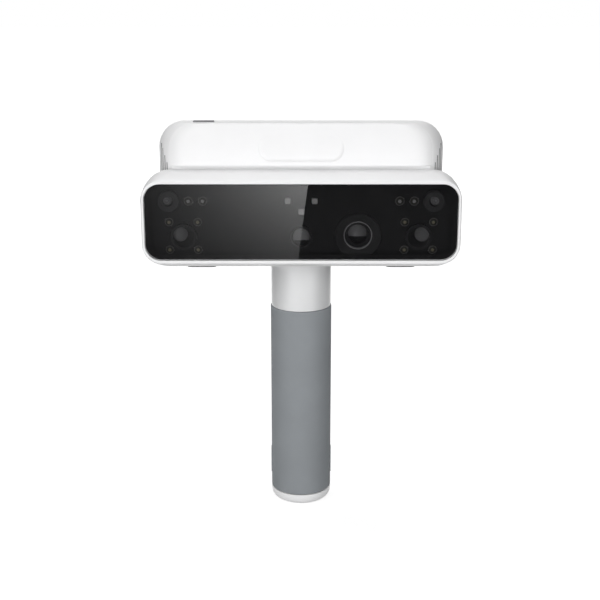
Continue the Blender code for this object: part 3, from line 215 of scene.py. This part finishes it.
def surface(
    name, colour, roughness, metallic=0.0, tint=0.02, spread=0.04, cloud=45.0,
    grain=1800.0, height=0.004 * MM, ior=1.5, alpha=1.0,
):
    """A lone Principled material: colour and roughness drift slowly, and a fine grain is moulded in."""
    material = bpy.data.materials.new(name)
    material.use_nodes = True
    nodes = material.node_tree.nodes
    links = material.node_tree.links
    shader = nodes["Principled BSDF"]
    shader.inputs["Metallic"].default_value = metallic
    shader.inputs["IOR"].default_value = ior
    shader.inputs["Alpha"].default_value = alpha
    place = nodes.new("ShaderNodeTexCoord").outputs["Object"]

    drift = nodes.new("ShaderNodeTexNoise")
    drift.inputs["Scale"].default_value = cloud
    drift.inputs["Detail"].default_value = DRIFT_DETAIL
    links.new(place, drift.inputs["Vector"])

    shades = nodes.new("ShaderNodeValToRGB")
    stops = zip(shades.color_ramp.elements, (NOISE_LOW, NOISE_HIGH), (1 - tint, 1 + tint))
    for element, position, share in stops:
        element.position = position
        element.color = (*(min(1.0, c * share) for c in colour), 1.0)
    links.new(drift.outputs[0], shades.inputs[0])
    links.new(shades.outputs["Color"], shader.inputs["Base Color"])

    gloss = nodes.new("ShaderNodeMapRange")
    gloss.inputs["From Min"].default_value = NOISE_LOW
    gloss.inputs["From Max"].default_value = NOISE_HIGH
    gloss.inputs["To Min"].default_value = roughness + spread
    gloss.inputs["To Max"].default_value = max(ROUGHNESS_FLOOR, roughness - spread)
    links.new(drift.outputs[0], gloss.inputs["Value"])
    links.new(gloss.outputs["Result"], shader.inputs["Roughness"])

    fine = nodes.new("ShaderNodeTexNoise")
    fine.inputs["Scale"].default_value = grain
    fine.inputs["Detail"].default_value = GRAIN_DETAIL
    links.new(place, fine.inputs["Vector"])
    bump = nodes.new("ShaderNodeBump")
    bump.inputs["Strength"].default_value = 1.0
    bump.inputs["Distance"].default_value = height
    links.new(fine.outputs[0], bump.inputs["Height"])
    links.new(bump.outputs["Normal"], shader.inputs["Normal"])
    return material


LOOKS = {
    "white_shell": surface("white_shell_look", (0.86, 0.86, 0.865), 0.4, tint=0.008),
    "smoked_window": surface(
        "smoked_window_look", (0.004, 0.004, 0.0045), 0.012,
        tint=0.1, spread=0.004, height=0.0, ior=1.75, alpha=0.36,
    ),
    "black_inner": surface("black_inner_look", (0.012, 0.012, 0.013), 0.6, tint=0.1, height=0.01 * MM),
    "camera_barrel": surface(
        "camera_barrel_look", (0.045, 0.045, 0.047), 0.45,
        metallic=0.3, tint=0.1, height=0.006 * MM,
    ),
    "coated_lens": surface(
        "coated_lens_look", (0.31, 0.31, 0.32), 0.05,
        tint=0.1, spread=0.02, height=0.0, ior=1.7,
    ),
    "led_lens": surface("led_lens_look", (0.10, 0.095, 0.07), 0.15, tint=0.1, spread=0.05),
    "emitter_window": surface("emitter_window_look", (0.62, 0.62, 0.62), 0.35, tint=0.05),
    "neck_coating": surface("neck_coating_look", (0.72, 0.725, 0.73), 0.36, metallic=0.1, tint=0.015),
    "grip_rubber": surface(
        "grip_rubber_look", (0.272, 0.289, 0.304), 0.75,
        ior=1.2, tint=0.04, spread=0.06, grain=2400.0, height=0.03 * MM,
    ),
    "dark_rubber": surface("dark_rubber_look", (0.045, 0.045, 0.046), 0.75, tint=0.08, height=0.02 * MM),
    "aluminium_core": surface("aluminium_core_look", (0.72, 0.72, 0.74), 0.32, metallic=1.0),
    "black_socket": surface("black_socket_look", (0.02, 0.02, 0.021), 0.4, tint=0.1),
    "key_panel": surface("key_panel_look", (0.03, 0.03, 0.033), 0.22, tint=0.08, height=0.001 * MM),
    "key_plastic": surface("key_plastic_look", (0.42, 0.43, 0.44), 0.42, tint=0.02),
    "dark_key": surface("dark_key_look", (0.19, 0.19, 0.2), 0.45, tint=0.03),
    "light_window": surface("light_window_look", (0.72, 0.76, 0.76), 0.3, tint=0.02),
    "circuit_board": surface("circuit_board_look", (0.03, 0.15, 0.08), 0.42, tint=0.15, cloud=300.0),
    "fan_plastic": surface("fan_plastic_look", (0.03, 0.03, 0.031), 0.45, tint=0.08),
    "led_clear": surface("led_clear_look", (0.06, 0.059, 0.052), 0.12, tint=0.1, spread=0.04),
    "led_rim": surface("led_rim_look", (0.16, 0.16, 0.158), 0.35, tint=0.1),
    "warm_die": surface("warm_die_look", (0.28, 0.26, 0.18), 0.3, tint=0.1),
    "cool_die": surface("cool_die_look", (0.4, 0.4, 0.4), 0.3, tint=0.1),
    "iris_ring": surface("iris_ring_look", (0.16, 0.16, 0.165), 0.35, metallic=0.5, tint=0.05),
    "bright_ring": surface("bright_ring_look", (0.45, 0.45, 0.46), 0.3, metallic=0.3, tint=0.05),
    "face_ring": surface("face_ring_look", (0.05, 0.05, 0.052), 0.5, tint=0.05),
    # grey of the filter mat's ribs, and painted shade in the strips inside the foremost vents
    "mat_and_vent_shade": surface("mat_and_vent_shade_look", (0.26, 0.26, 0.26), 0.8, tint=0.1, grain=3000.0, height=0.05 * MM),
    "track_lens": surface(
        "track_lens_look", (0.46, 0.46, 0.48), 0.08,
        tint=0.1, spread=0.02, height=0.0, ior=1.7,
    ),
    "mark": surface("mark_look", (0.75, 0.75, 0.75), 0.45, tint=0.03),
    "plug": surface("plug_look", (0.6, 0.6, 0.605), 0.55, tint=0.02, height=0.01 * MM),
    # near-black plate that paints shade on the lower part of the texture camera's lens
    "painted_shade": surface("painted_shade_look", (0.012, 0.012, 0.013), 0.5, tint=0.1),
}


# The CAD nodes keep their shape: they get smooth shading and their material

def soft_normals():
    """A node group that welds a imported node's faces and shades all but its sharp edges smooth."""
    tree = bpy.data.node_groups.new("soft_normals", "GeometryNodeTree")
    tree.is_modifier = True
    tree.interface.new_socket("Geometry", in_out="INPUT", socket_type="NodeSocketGeometry")
    tree.interface.new_socket("Geometry", in_out="OUTPUT", socket_type="NodeSocketGeometry")
    nodes = tree.nodes
    steps = [nodes.new("NodeGroupInput"), nodes.new("GeometryNodeRemoveAttribute")]
    steps[1].inputs["Name"].default_value = "custom_normal"
    weld = nodes.new("GeometryNodeMergeByDistance")
    weld.inputs["Distance"].default_value = WELD_DISTANCE
    faces = nodes.new("GeometryNodeSetShadeSmooth")
    edges = nodes.new("GeometryNodeSetShadeSmooth")
    edges.domain = "EDGE"
    edges.inputs["Shade Smooth"].default_value = False
    turn = nodes.new("GeometryNodeInputMeshEdgeAngle")
    sharp = nodes.new("FunctionNodeCompare")
    sharp.operation = "GREATER_THAN"
    sharp.inputs[1].default_value = SMOOTH_ANGLE
    tree.links.new(turn.outputs["Unsigned Angle"], sharp.inputs[0])
    tree.links.new(sharp.outputs[0], edges.inputs["Selection"])
    steps += [weld, faces, edges, nodes.new("NodeGroupOutput")]
    for before, after in zip(steps, steps[1:]):
        tree.links.new(before.outputs[0], after.inputs[0])
    return tree


def dress_nodes():
    """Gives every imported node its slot's material and its soft normals."""
    group = soft_normals()
    for part in frame["record"]["subparts"]:
        obj = frame["nodes"][part["node"]]
        for slot in obj.material_slots:
            slot.material = LOOKS[part["material_slot"]]
        obj.modifiers.new("soft_normals", "NODES").node_group = group
        weigh = obj.modifiers.new("weigh_normals", "WEIGHTED_NORMAL")
        weigh.keep_sharp = True


# Finer pieces, each placed from the node it belongs to

def middle(node):
    """The middle of a node's box."""
    low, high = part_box(node)
    return tuple((a + b) / 2 for a, b in zip(low, high))


def add_piece(name, verts, faces, slot, look=None, body=ROOT_BODY, smooth=True):
    """A closed mesh piece that rides on a body and takes its finish from a slot."""
    mesh = bpy.data.meshes.new(name)
    mesh.from_pydata(verts, [], faces)
    mesh.validate()
    solid = bmesh.new()
    solid.from_mesh(mesh)
    bmesh.ops.recalc_face_normals(solid, faces=solid.faces)
    solid.to_mesh(mesh)
    solid.free()
    mesh.materials.append(LOOKS[look or slot])
    obj = bpy.data.objects.new(name, mesh)
    bpy.context.scene.collection.objects.link(obj)
    if smooth:
        mesh.shade_smooth()
        weigh = obj.modifiers.new("weigh_normals", "WEIGHTED_NORMAL")
        weigh.keep_sharp = True
        mesh.set_sharp_from_angle(angle=SMOOTH_ANGLE)
    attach(obj, body)
    return obj


def turned(centre, profile, steps, facing=-1):
    """Verts and faces of a piece turned about Y; the profile is a list of (radius, reach) pairs."""
    x, y, z = centre
    verts, rings = [], []
    for radius, reach in profile:
        ring = []
        for step in range(1 if radius == 0 else steps):
            angle = 2 * math.pi * step / steps
            ring.append(len(verts))
            across, up = radius * math.cos(angle), radius * math.sin(angle)
            verts.append((x + across, y + facing * reach, z + up))
        rings.append(ring)
    closed = all(len(ring) > 1 for ring in rings)
    pairs = list(zip(rings, rings[1:])) + ([(rings[-1], rings[0])] if closed else [])
    faces = []
    for one, other in pairs:
        for step in range(steps):
            after = (step + 1) % steps
            if len(one) == 1:
                faces.append((one[0], other[step], other[after]))
            elif len(other) == 1:
                faces.append((one[step], other[0], one[after]))
            else:
                faces.append((one[step], other[step], other[after], one[after]))
    return verts, faces


def slab(outline, start, end, axis=1):
    """Verts and faces of an outline pushed along an axis; the outline is a list of pairs."""
    verts = []
    for reach in (start, end):
        for pair in outline:
            spot = list(pair)
            spot.insert(axis, reach)
            verts.append(tuple(spot))
    count = len(outline)
    faces = [tuple(range(count)), tuple(range(count, 2 * count))]
    faces += [(n, (n + 1) % count, count + (n + 1) % count, count + n) for n in range(count)]
    return verts, faces


def rounded_outline(x0, x1, z0, z1, radius):
    """Points round a rectangle with rounded corners."""
    points = []
    corners = ((x1 - radius, z1 - radius, 0), (x0 + radius, z1 - radius, 90))
    corners += ((x0 + radius, z0 + radius, 180), (x1 - radius, z0 + radius, 270))
    for x, z, start in corners:
        for step in range(CORNER_STEPS + 1):
            angle = math.radians(start + 90 * step / CORNER_STEPS)
            points.append((x + radius * math.cos(angle), z + radius * math.sin(angle)))
    return points


def add_window_border():
    """The black border printed on the back of the window, which hides the ledge that it sits on."""
    low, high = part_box("window_glass")
    start, end = high[1] + BORDER_GAP, high[1] + BORDER_BACK
    edge, width = BORDER_EDGE, BORDER_WIDTH
    radius = WINDOW_CORNER - edge
    box = (low[0] + edge, high[0] - edge, low[2] + edge, high[2] - edge)
    inner = (box[0] + width, box[1] - width, box[2] + width, box[3] - width)
    outside = rounded_outline(*box, radius)
    inside = rounded_outline(*inner, radius - width)
    count = len(outside)
    verts = [(x, y, z) for y in (start, end) for ring in (outside, inside) for x, z in ring]
    faces = []
    for n in range(count):
        m = (n + 1) % count
        front_out, front_in, back_out, back_in = (part * count for part in range(4))
        faces += [
            (front_out + n, front_out + m, front_in + m, front_in + n),
            (back_out + n, back_out + m, back_in + m, back_in + n),
            (front_out + n, front_out + m, back_out + m, back_out + n),
            (front_in + n, front_in + m, back_in + m, back_in + n),
        ]
    add_piece("window_border", verts, faces, "black_inner", smooth=False)


def add_led(node, die_look):
    """A diode in three pieces: a thin rim, a clear dome and the bright die under its middle."""
    x, _, z = middle(node)
    low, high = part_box(node)
    radius = (high[0] - low[0]) / 2
    spot = (x, high[1], z)
    rise = high[1] - low[1]
    base = rise - LED_DOME_RISE
    dome = [(0, 0), (radius, 0), (radius, base)]
    for step in range(1, LED_DOME_STEPS):
        angle = math.pi / 2 * step / LED_DOME_STEPS
        dome.append((LED_DOME_SHARE * radius * math.cos(angle), base + LED_DOME_RISE * math.sin(angle)))
    dome.append((0, base + LED_DOME_RISE))
    verts, faces = turned(spot, dome, LED_STEPS)
    bulb = add_piece(f"{node}_dome", verts, faces, "led_lens", "led_clear")
    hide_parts(node)
    rim = [(share * radius, base + height * MM) for share, height in LED_RIM]
    verts, faces = turned(spot, rim, LED_STEPS)
    add_piece(f"{node}_rim", verts, faces, "led_lens", "led_rim")
    die = [(share * radius, rise + height * MM) for share, height in LED_DIE]
    verts, faces = turned(spot, die, DIE_STEPS)
    add_piece(f"{node}_die", verts, faces, "led_lens", die_look)


def add_lens_rings(node):
    """Thin iris rings in front of a small lens."""
    x, _, z = middle(node)
    low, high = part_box(node)
    radius = (high[2] - low[2]) / 2
    for n, (share, width) in enumerate(IRIS_RINGS, 1):
        outer, inner = share * radius, (share - width) * radius
        ring = [(inner, 0), (inner, IRIS_THICKNESS), (outer, IRIS_THICKNESS), (outer, 0)]
        verts, faces = turned((x, low[1] + IRIS_BITE, z), ring, IRIS_STEPS)
        add_piece(f"{node}_ring_{n}", verts, faces, "camera_barrel", "iris_ring")


def add_face_ring(node):
    """The flat ring on the front of a small camera, round its lens."""
    x, _, z = middle(node)
    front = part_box(node)[0][1]
    inner, outer, bevel = FACE_RING_INNER, FACE_RING_OUTER, FACE_RING_BEVEL
    ring = [(inner, -bevel), (inner, FACE_RING_PROUD), (outer - bevel, FACE_RING_PROUD)]
    ring += [(outer, 0), (outer, -bevel)]
    verts, faces = turned((x, front, z), ring, FACE_RING_STEPS)
    add_piece(f"{node}_face_ring", verts, faces, "camera_barrel", "face_ring")


def add_projector_ring():
    """The projector's bright retaining ring, seen as a crescent at its foot."""
    x, _, z = middle("projector_barrel")
    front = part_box("projector_barrel")[0][1]
    ring = [(radius * MM, reach * MM) for radius, reach in PROJECTOR_RING]
    verts, faces = turned((x, front, z), ring, PROJECTOR_RING_STEPS)
    for n, (a, b, c) in enumerate(verts):
        if math.hypot(a - x, c - z) < PROJECTOR_RING_INSIDE:
            thin = PROJECTOR_RING_GROWTH * max(0.0, (z - c) / PROJECTOR_RING_OUTER) ** 2
            verts[n] = (x + (a - x) * (1 - thin), b, z + (c - z) * (1 - thin))
    add_piece("projector_ring", verts, faces, "camera_barrel", "bright_ring")


def add_painted_shade_plate():
    """A near-black plate across the lower part of the texture camera's lens, which paints the shade seen
    there.
    """
    low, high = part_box("texture_camera_lens")
    x, _, z = middle("texture_camera_lens")
    radius = SHADE_PLATE_SHARE * (high[0] - low[0]) / 2
    tilt = math.asin(SHADE_PLATE_DROP)
    sweep = math.pi - 2 * tilt
    angles = [math.pi + tilt + sweep * n / SHADE_PLATE_STEPS for n in range(SHADE_PLATE_STEPS + 1)]
    segment = [(x + radius * math.cos(angle), z + radius * math.sin(angle)) for angle in angles]
    verts, faces = slab(segment, low[1] - SHADE_PLATE_FRONT, low[1] - SHADE_PLATE_BACK)
    add_piece("texture_camera_painted_shade", verts, faces, "camera_barrel", "painted_shade", smooth=False)


def add_optics():
    """Everything that shows through the window and isn't in the pack."""
    add_window_border()
    for side in ("left", "right"):
        for n in range(1, 5):
            add_led(f"scan_led_{side}_{n}", "warm_die")
        for n in range(1, 3):
            add_led(f"track_led_{side}_{n}", "cool_die")
        add_lens_rings(f"track_camera_{side}_lens")
        add_face_ring(f"track_camera_{side}")
        frame["nodes"][f"track_camera_{side}_lens"].material_slots[0].material = LOOKS["track_lens"]
    add_projector_ring()
    # painted shade: a dark plate over the lower part of the texture camera's lens
    add_painted_shade_plate()


def add_face_pad():
    """The moulded pad on the face: it follows the cover's pad and rolls over at its sides and foot."""
    low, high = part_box("face_cover")
    face = low[1] + PAD_PROUD
    foot, head = low[2] + PAD_RISE, high[2] - PAD_DROP
    rings = ((PAD_OUTSET, None), (PAD_OUTSET, 0.0)) + PAD_ROLL
    verts, faces = [], []
    for inset, bulge in rings:
        step = inset * MM
        half = PAD_HALF_WIDTH - step
        for x, z in rounded_outline(-half, half, foot + step, head - step, PAD_CORNER - step):
            if bulge is None:
                y = face + PAD_BITE
            else:
                fade = max(0.0, min(1.0, (head - z) / (head - foot)))
                y = face - PAD_SKIN - (PAD_PROUD + bulge * MM) * fade
            verts.append((x, y, z))
    count = len(verts) // len(rings)
    for ring in range(len(rings) - 1):
        for n in range(count):
            m = (n + 1) % count
            one, other = ring * count, (ring + 1) * count
            faces.append((one + n, one + m, other + m, other + n))
    faces.append(tuple(range(count)))
    faces.append(tuple(range(len(verts) - count, len(verts))))
    add_piece("face_pad", verts, faces, "white_shell")


def add_vent_shade_strips():
    """Grey strips just inside the foremost vents, whose colour paints the shade seen in them."""
    heart_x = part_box("rear_housing")[1][0] - PLAN_RADIUS
    heart_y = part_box("face_cover")[0][1] + PAD_PROUD + PLAN_RADIUS
    front, back = SHADE_STRIP_DEPTHS
    half = SHADE_STRIP_HALF_WIDTH
    section = ((front, -half), (front, half), (back, half), (back, -half))
    for side, label in ((-1, "left"), (1, "right")):
        for n in range(SHADE_STRIP_COUNT):
            angle = VENT_START - n * VENT_PITCH / PLAN_RADIUS
            out = (side * math.cos(angle), -math.sin(angle))
            along = (-out[1], out[0])
            top = min(VENT_TOP_Z, VENT_FIRST_TOP_Z + n * VENT_STEP) - SHADE_STRIP_GAP
            corners = []
            for depth, across in section:
                reach = PLAN_RADIUS - depth * MM
                x = side * heart_x + out[0] * reach + along[0] * across * MM
                y = heart_y + out[1] * reach + along[1] * across * MM
                corners.append((x, y))
            verts, faces = slab(corners, VENT_LOW_Z, top, axis=2)
            add_piece(f"vent_shade_strip_{label}_{n + 1}", verts, faces, "black_inner", "mat_and_vent_shade", smooth=False)


def add_filter_mat():
    """The ribbed filter mat behind the right flank's vents, so that no light passes the head."""
    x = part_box("rear_housing")[1][0] - MAT_SETBACK
    foot, head = VENT_LOW_Z + MAT_FOOT_GAP, VENT_TOP_Z - MAT_HEAD_GAP
    outline = rounded_outline(MAT_FRONT, MAT_BACK, foot, head, MAT_CORNER)
    verts, faces = slab(outline, x - MAT_THICKNESS, x, axis=0)
    add_piece("filter_mat", verts, faces, "black_inner", smooth=False)
    low, high = VENT_LOW_Z + MAT_RIB_GAP, VENT_TOP_Z - MAT_RIB_GAP
    for n in range(MAT_RIBS):
        y = MAT_FRONT + (MAT_BACK - MAT_FRONT) * (n + 1) / (MAT_RIBS + 1)
        near, far = y - MAT_RIB_HALF, y + MAT_RIB_HALF
        rib = [(near, low), (far, low), (far, high), (near, high)]
        verts, faces = slab(rib, x, x + MAT_RIB_PROUD, axis=0)
        add_piece(f"filter_mat_rib_{n + 1}", verts, faces, "black_inner", "mat_and_vent_shade", smooth=False)


def add_key(node, mark):
    """A dished key cap with a rounded rim and a raised mark in the dish; both move with the key."""
    x, _, z = middle(node)
    low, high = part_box(node)
    radius = (high[0] - low[0]) / 2
    rim = high[1] - low[1] - KEY_SETBACK
    dish = rim - KEY_DISH
    cap = [(0, 0), (radius, 0), (radius, rim - KEY_ROUND)]
    for step in range(1, KEY_ROUND_STEPS + 1):
        angle = math.pi / 2 * step / KEY_ROUND_STEPS
        cap.append((radius - KEY_ROUND * (1 - math.cos(angle)), rim - KEY_ROUND * (1 - math.sin(angle))))
    inside = radius - KEY_LAND
    for step in range(KEY_DISH_STEPS + 1):
        share = 1 - step / KEY_DISH_STEPS
        cap.append((inside * share, dish + (rim - KEY_LIP - dish) * share ** 2))
    verts, faces = turned((x, low[1], z), cap, KEY_STEPS, facing=1)
    piece = add_piece(f"{node}_cap", verts, faces, "key_plastic", body=node)
    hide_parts(node)
    y = low[1] + dish
    for n, outline in enumerate(mark, 1):
        spots = [(x - side * MM, z + up * MM) for side, up in outline]
        verts, faces = slab(spots, y - MARK_BITE, y + MARK_PROUD)
        add_piece(f"{node}_mark_{n}", verts, faces, "light_window", "mark", body=node, smooth=False)


def add_rear():
    """The caps of the rear keys and the plugs over the back's four screws."""
    add_key("up_key", (BAR, CROSS_BAR))
    add_key("down_key", (BAR,))
    add_key("scan_key", (TRIANGLE,))
    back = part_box("rear_housing")[1][1]
    plug = [(radius * MM, height * MM) for radius, height in PLUG_PROFILE]
    for side, x in (("left", -PLUG_X), ("right", PLUG_X)):
        for level, z in (("low", PLUG_LOW_Z), ("high", PLUG_HIGH_Z)):
            verts, faces = turned((x, back, z), plug, PLUG_STEPS, facing=1)
            add_piece(f"screw_plug_{level}_{side}", verts, faces, "white_shell", "plug")


# Floor, light and camera

def stage_mesh(name, corners, material):
    """A flat stage piece, which isn't part of the scanner."""
    mesh = bpy.data.meshes.new(name)
    mesh.from_pydata(corners, [], [range(len(corners))])
    mesh.materials.append(material)
    obj = bpy.data.objects.new(name, mesh)
    bpy.context.scene.collection.objects.link(obj)
    return obj


def seen_directly(nodes, links):
    """1 for rays from the camera and for sharp reflections and refractions, else 0."""
    path = nodes.new("ShaderNodeLightPath")
    total = path.outputs["Is Camera Ray"]
    for ray in ("Is Glossy Ray", "Is Transmission Ray"):
        add = nodes.new("ShaderNodeMath")
        add.operation = "MAXIMUM"
        links.new(total, add.inputs[0])
        links.new(path.outputs[ray], add.inputs[1])
        total = add.outputs[0]
    return total


def make_world(ambient):
    """White where it is seen directly, and a low light that falls off towards both sides."""
    world = bpy.data.worlds.new("studio")
    bpy.context.scene.world = world
    world.use_nodes = True
    nodes, links = world.node_tree.nodes, world.node_tree.links
    nodes.clear()
    plain = nodes.new("ShaderNodeBackground")
    plain.inputs["Color"].default_value = (1, 1, 1, 1)
    room = nodes.new("ShaderNodeBackground")
    room.inputs["Color"].default_value = (1, 1, 1, 1)
    split = nodes.new("ShaderNodeSeparateXYZ")
    links.new(nodes.new("ShaderNodeTexCoord").outputs["Generated"], split.inputs[0])
    aside = nodes.new("ShaderNodeMath")
    aside.operation = "ABSOLUTE"
    links.new(split.outputs["X"], aside.inputs[0])
    fall = nodes.new("ShaderNodeMapRange")
    fall.inputs["From Min"].default_value, fall.inputs["From Max"].default_value = WORLD_FALL
    fall.inputs["To Min"].default_value = ambient
    fall.inputs["To Max"].default_value = WORLD_SIDE_SHARE * ambient
    links.new(aside.outputs[0], fall.inputs["Value"])
    links.new(fall.outputs["Result"], room.inputs["Strength"])
    mix = nodes.new("ShaderNodeMixShader")
    links.new(seen_directly(nodes, links), mix.inputs["Fac"])
    links.new(room.outputs[0], mix.inputs[1])
    links.new(plain.outputs[0], mix.inputs[2])
    links.new(mix.outputs[0], nodes.new("ShaderNodeOutputWorld").inputs["Surface"])


def make_floor(glow, answer):
    """A pale floor: white where nothing shades it, and it still takes the object's shadow."""
    material = bpy.data.materials.new("floor_look")
    material.use_nodes = True
    nodes, links = material.node_tree.nodes, material.node_tree.links
    nodes.clear()
    light = nodes.new("ShaderNodeEmission")
    away = nodes.new("ShaderNodeVectorMath")
    away.operation = "LENGTH"
    links.new(nodes.new("ShaderNodeNewGeometry").outputs["Position"], away.inputs[0])
    rise = nodes.new("ShaderNodeMapRange")
    rise.inputs["From Min"].default_value, rise.inputs["From Max"].default_value = FLOOR_RISE
    rise.inputs["To Min"].default_value = glow
    rise.inputs["To Max"].default_value = 1.0
    links.new(away.outputs["Value"], rise.inputs["Value"])
    links.new(rise.outputs["Result"], light.inputs["Strength"])
    paint = nodes.new("ShaderNodeBsdfDiffuse")
    paint.inputs["Color"].default_value = (answer, answer, answer, 1)
    seen = nodes.new("ShaderNodeAddShader")
    links.new(light.outputs[0], seen.inputs[0])
    links.new(paint.outputs[0], seen.inputs[1])
    plain = nodes.new("ShaderNodeBsdfDiffuse")
    plain.inputs["Color"].default_value = (FLOOR_BOUNCE, FLOOR_BOUNCE, FLOOR_BOUNCE, 1)
    mix = nodes.new("ShaderNodeMixShader")
    links.new(seen_directly(nodes, links), mix.inputs["Fac"])
    links.new(plain.outputs[0], mix.inputs[1])
    links.new(seen.outputs[0], mix.inputs[2])
    links.new(mix.outputs[0], nodes.new("ShaderNodeOutputMaterial").inputs["Surface"])
    half = FLOOR_HALF
    corners = [(x, y, FLOOR_Z) for x, y in ((-half, -half), (half, -half), (half, half), (-half, half))]
    stage_mesh("floor", corners, material)


def area_light(name, place, target, size, watts):
    """A round lamp, which the window and the lenses don't mirror."""
    data = bpy.data.lights.new(name, "AREA")
    data.shape = "DISK"
    data.size = size
    data.energy = watts
    obj = bpy.data.objects.new(name, data)
    obj.location = place
    obj.rotation_euler = (Vector(target) - Vector(place)).to_track_quat("-Z", "Y").to_euler()
    obj.visible_glossy = False
    bpy.context.scene.collection.objects.link(obj)


def card_material():
    """A soft-box that brightens towards the middle and the top."""
    material = bpy.data.materials.new("soft_box_look")
    material.use_nodes = True
    nodes, links = material.node_tree.nodes, material.node_tree.links
    nodes.clear()
    split = nodes.new("ShaderNodeSeparateXYZ")
    links.new(nodes.new("ShaderNodeNewGeometry").outputs["Position"], split.inputs[0])

    def share(output, start, end):
        ranged = nodes.new("ShaderNodeMapRange")
        ranged.inputs["From Min"].default_value = start
        ranged.inputs["From Max"].default_value = end
        links.new(split.outputs[output], ranged.inputs["Value"])
        return ranged.outputs["Result"]

    def combine(operation, first, second):
        step = nodes.new("ShaderNodeMath")
        step.operation = operation
        for socket, value in zip(step.inputs, (first, second)):
            if isinstance(value, float):
                socket.default_value = value
            else:
                links.new(value, socket)
        return step.outputs[0]

    across = share("X", *SOFT_BOX_ACROSS)
    up = share("Z", *SOFT_BOX_UP)
    both = combine("MULTIPLY", across, up)
    across_part = combine("MULTIPLY", across, SOFT_BOX_LEVEL["across"])
    up_part = combine("MULTIPLY", up, SOFT_BOX_LEVEL["up"])
    both_part = combine("MULTIPLY", both, SOFT_BOX_LEVEL["both"])
    level = combine("ADD", combine("ADD", across_part, up_part), SOFT_BOX_LEVEL["base"])
    level = combine("ADD", level, both_part)
    glow = combine("MULTIPLY", combine("POWER", level, SOFT_BOX_POWER), SOFT_BOX_GLOW)
    light = nodes.new("ShaderNodeEmission")
    links.new(glow, light.inputs["Strength"])
    links.new(light.outputs[0], nodes.new("ShaderNodeOutputMaterial").inputs["Surface"])
    return material


def make_cards():
    """What the window mirrors: a soft-box on the left and darkness on the right."""
    y = CARD_Y
    low, high, side = CARD_LOW, CARD_HIGH, CARD_SIDE
    edge_low, edge_high = CARD_EDGE_LOW, CARD_EDGE_HIGH
    dark = surface("dark_card_look", (0.0, 0.0, 0.0), 1.0, spread=0.0, height=0.0)
    left = [(-side, y, low), (edge_low, y, low), (edge_high, y, high), (-side, y, high)]
    right = [(edge_low, y, low), (side, y, low), (side, y, high), (edge_high, y, high)]
    cards = [stage_mesh("soft_box", left, card_material()), stage_mesh("dark_card", right, dark)]
    for card in cards:
        card.visible_camera = False
        card.visible_diffuse = False
        card.visible_shadow = False
        card.visible_transmission = False


def make_flags():
    """Dark flags on both sides, which keep the flanks and the round grip from going flat."""
    black = surface("flag_look", (0.01, 0.01, 0.01), 1.0, spread=0.0, height=0.0)
    near, far, top = FLAG_NEAR, FLAG_FAR, FLAG_TOP
    for name, x in (("flag_left", -FLAG_X), ("flag_right", FLAG_X)):
        flag = stage_mesh(name, [(x, near, 0), (x, far, 0), (x, far, top), (x, near, top)], black)
        flag.visible_camera = False
        flag.visible_shadow = False
        flag.visible_transmission = False


def make_camera():
    """The photograph's camera."""
    data = bpy.data.cameras.new("camera")
    data.lens = CAMERA_LENS
    data.sensor_width = SENSOR_WIDTH
    data.clip_start = CAMERA_CLIP
    camera = bpy.data.objects.new("camera", data)
    camera.location = CAMERA_PLACE
    camera.rotation_euler = (CAMERA_TILT, 0, 0)
    bpy.context.scene.collection.objects.link(camera)
    bpy.context.scene.camera = camera


dress_nodes()
add_optics()
add_face_pad()
# painted shade: grey strips inside the foremost vents
add_vent_shade_strips()
add_filter_mat()
add_rear()
make_camera()
make_world(WORLD_LIGHT)
make_floor(FLOOR_GLOW, FLOOR_ANSWER)
make_cards()
make_flags()
for lamp, place, size, watts in LAMPS:
    area_light(lamp, place, LAMP_TARGET, size, watts)
bpy.context.scene.view_settings.view_transform = "Standard"
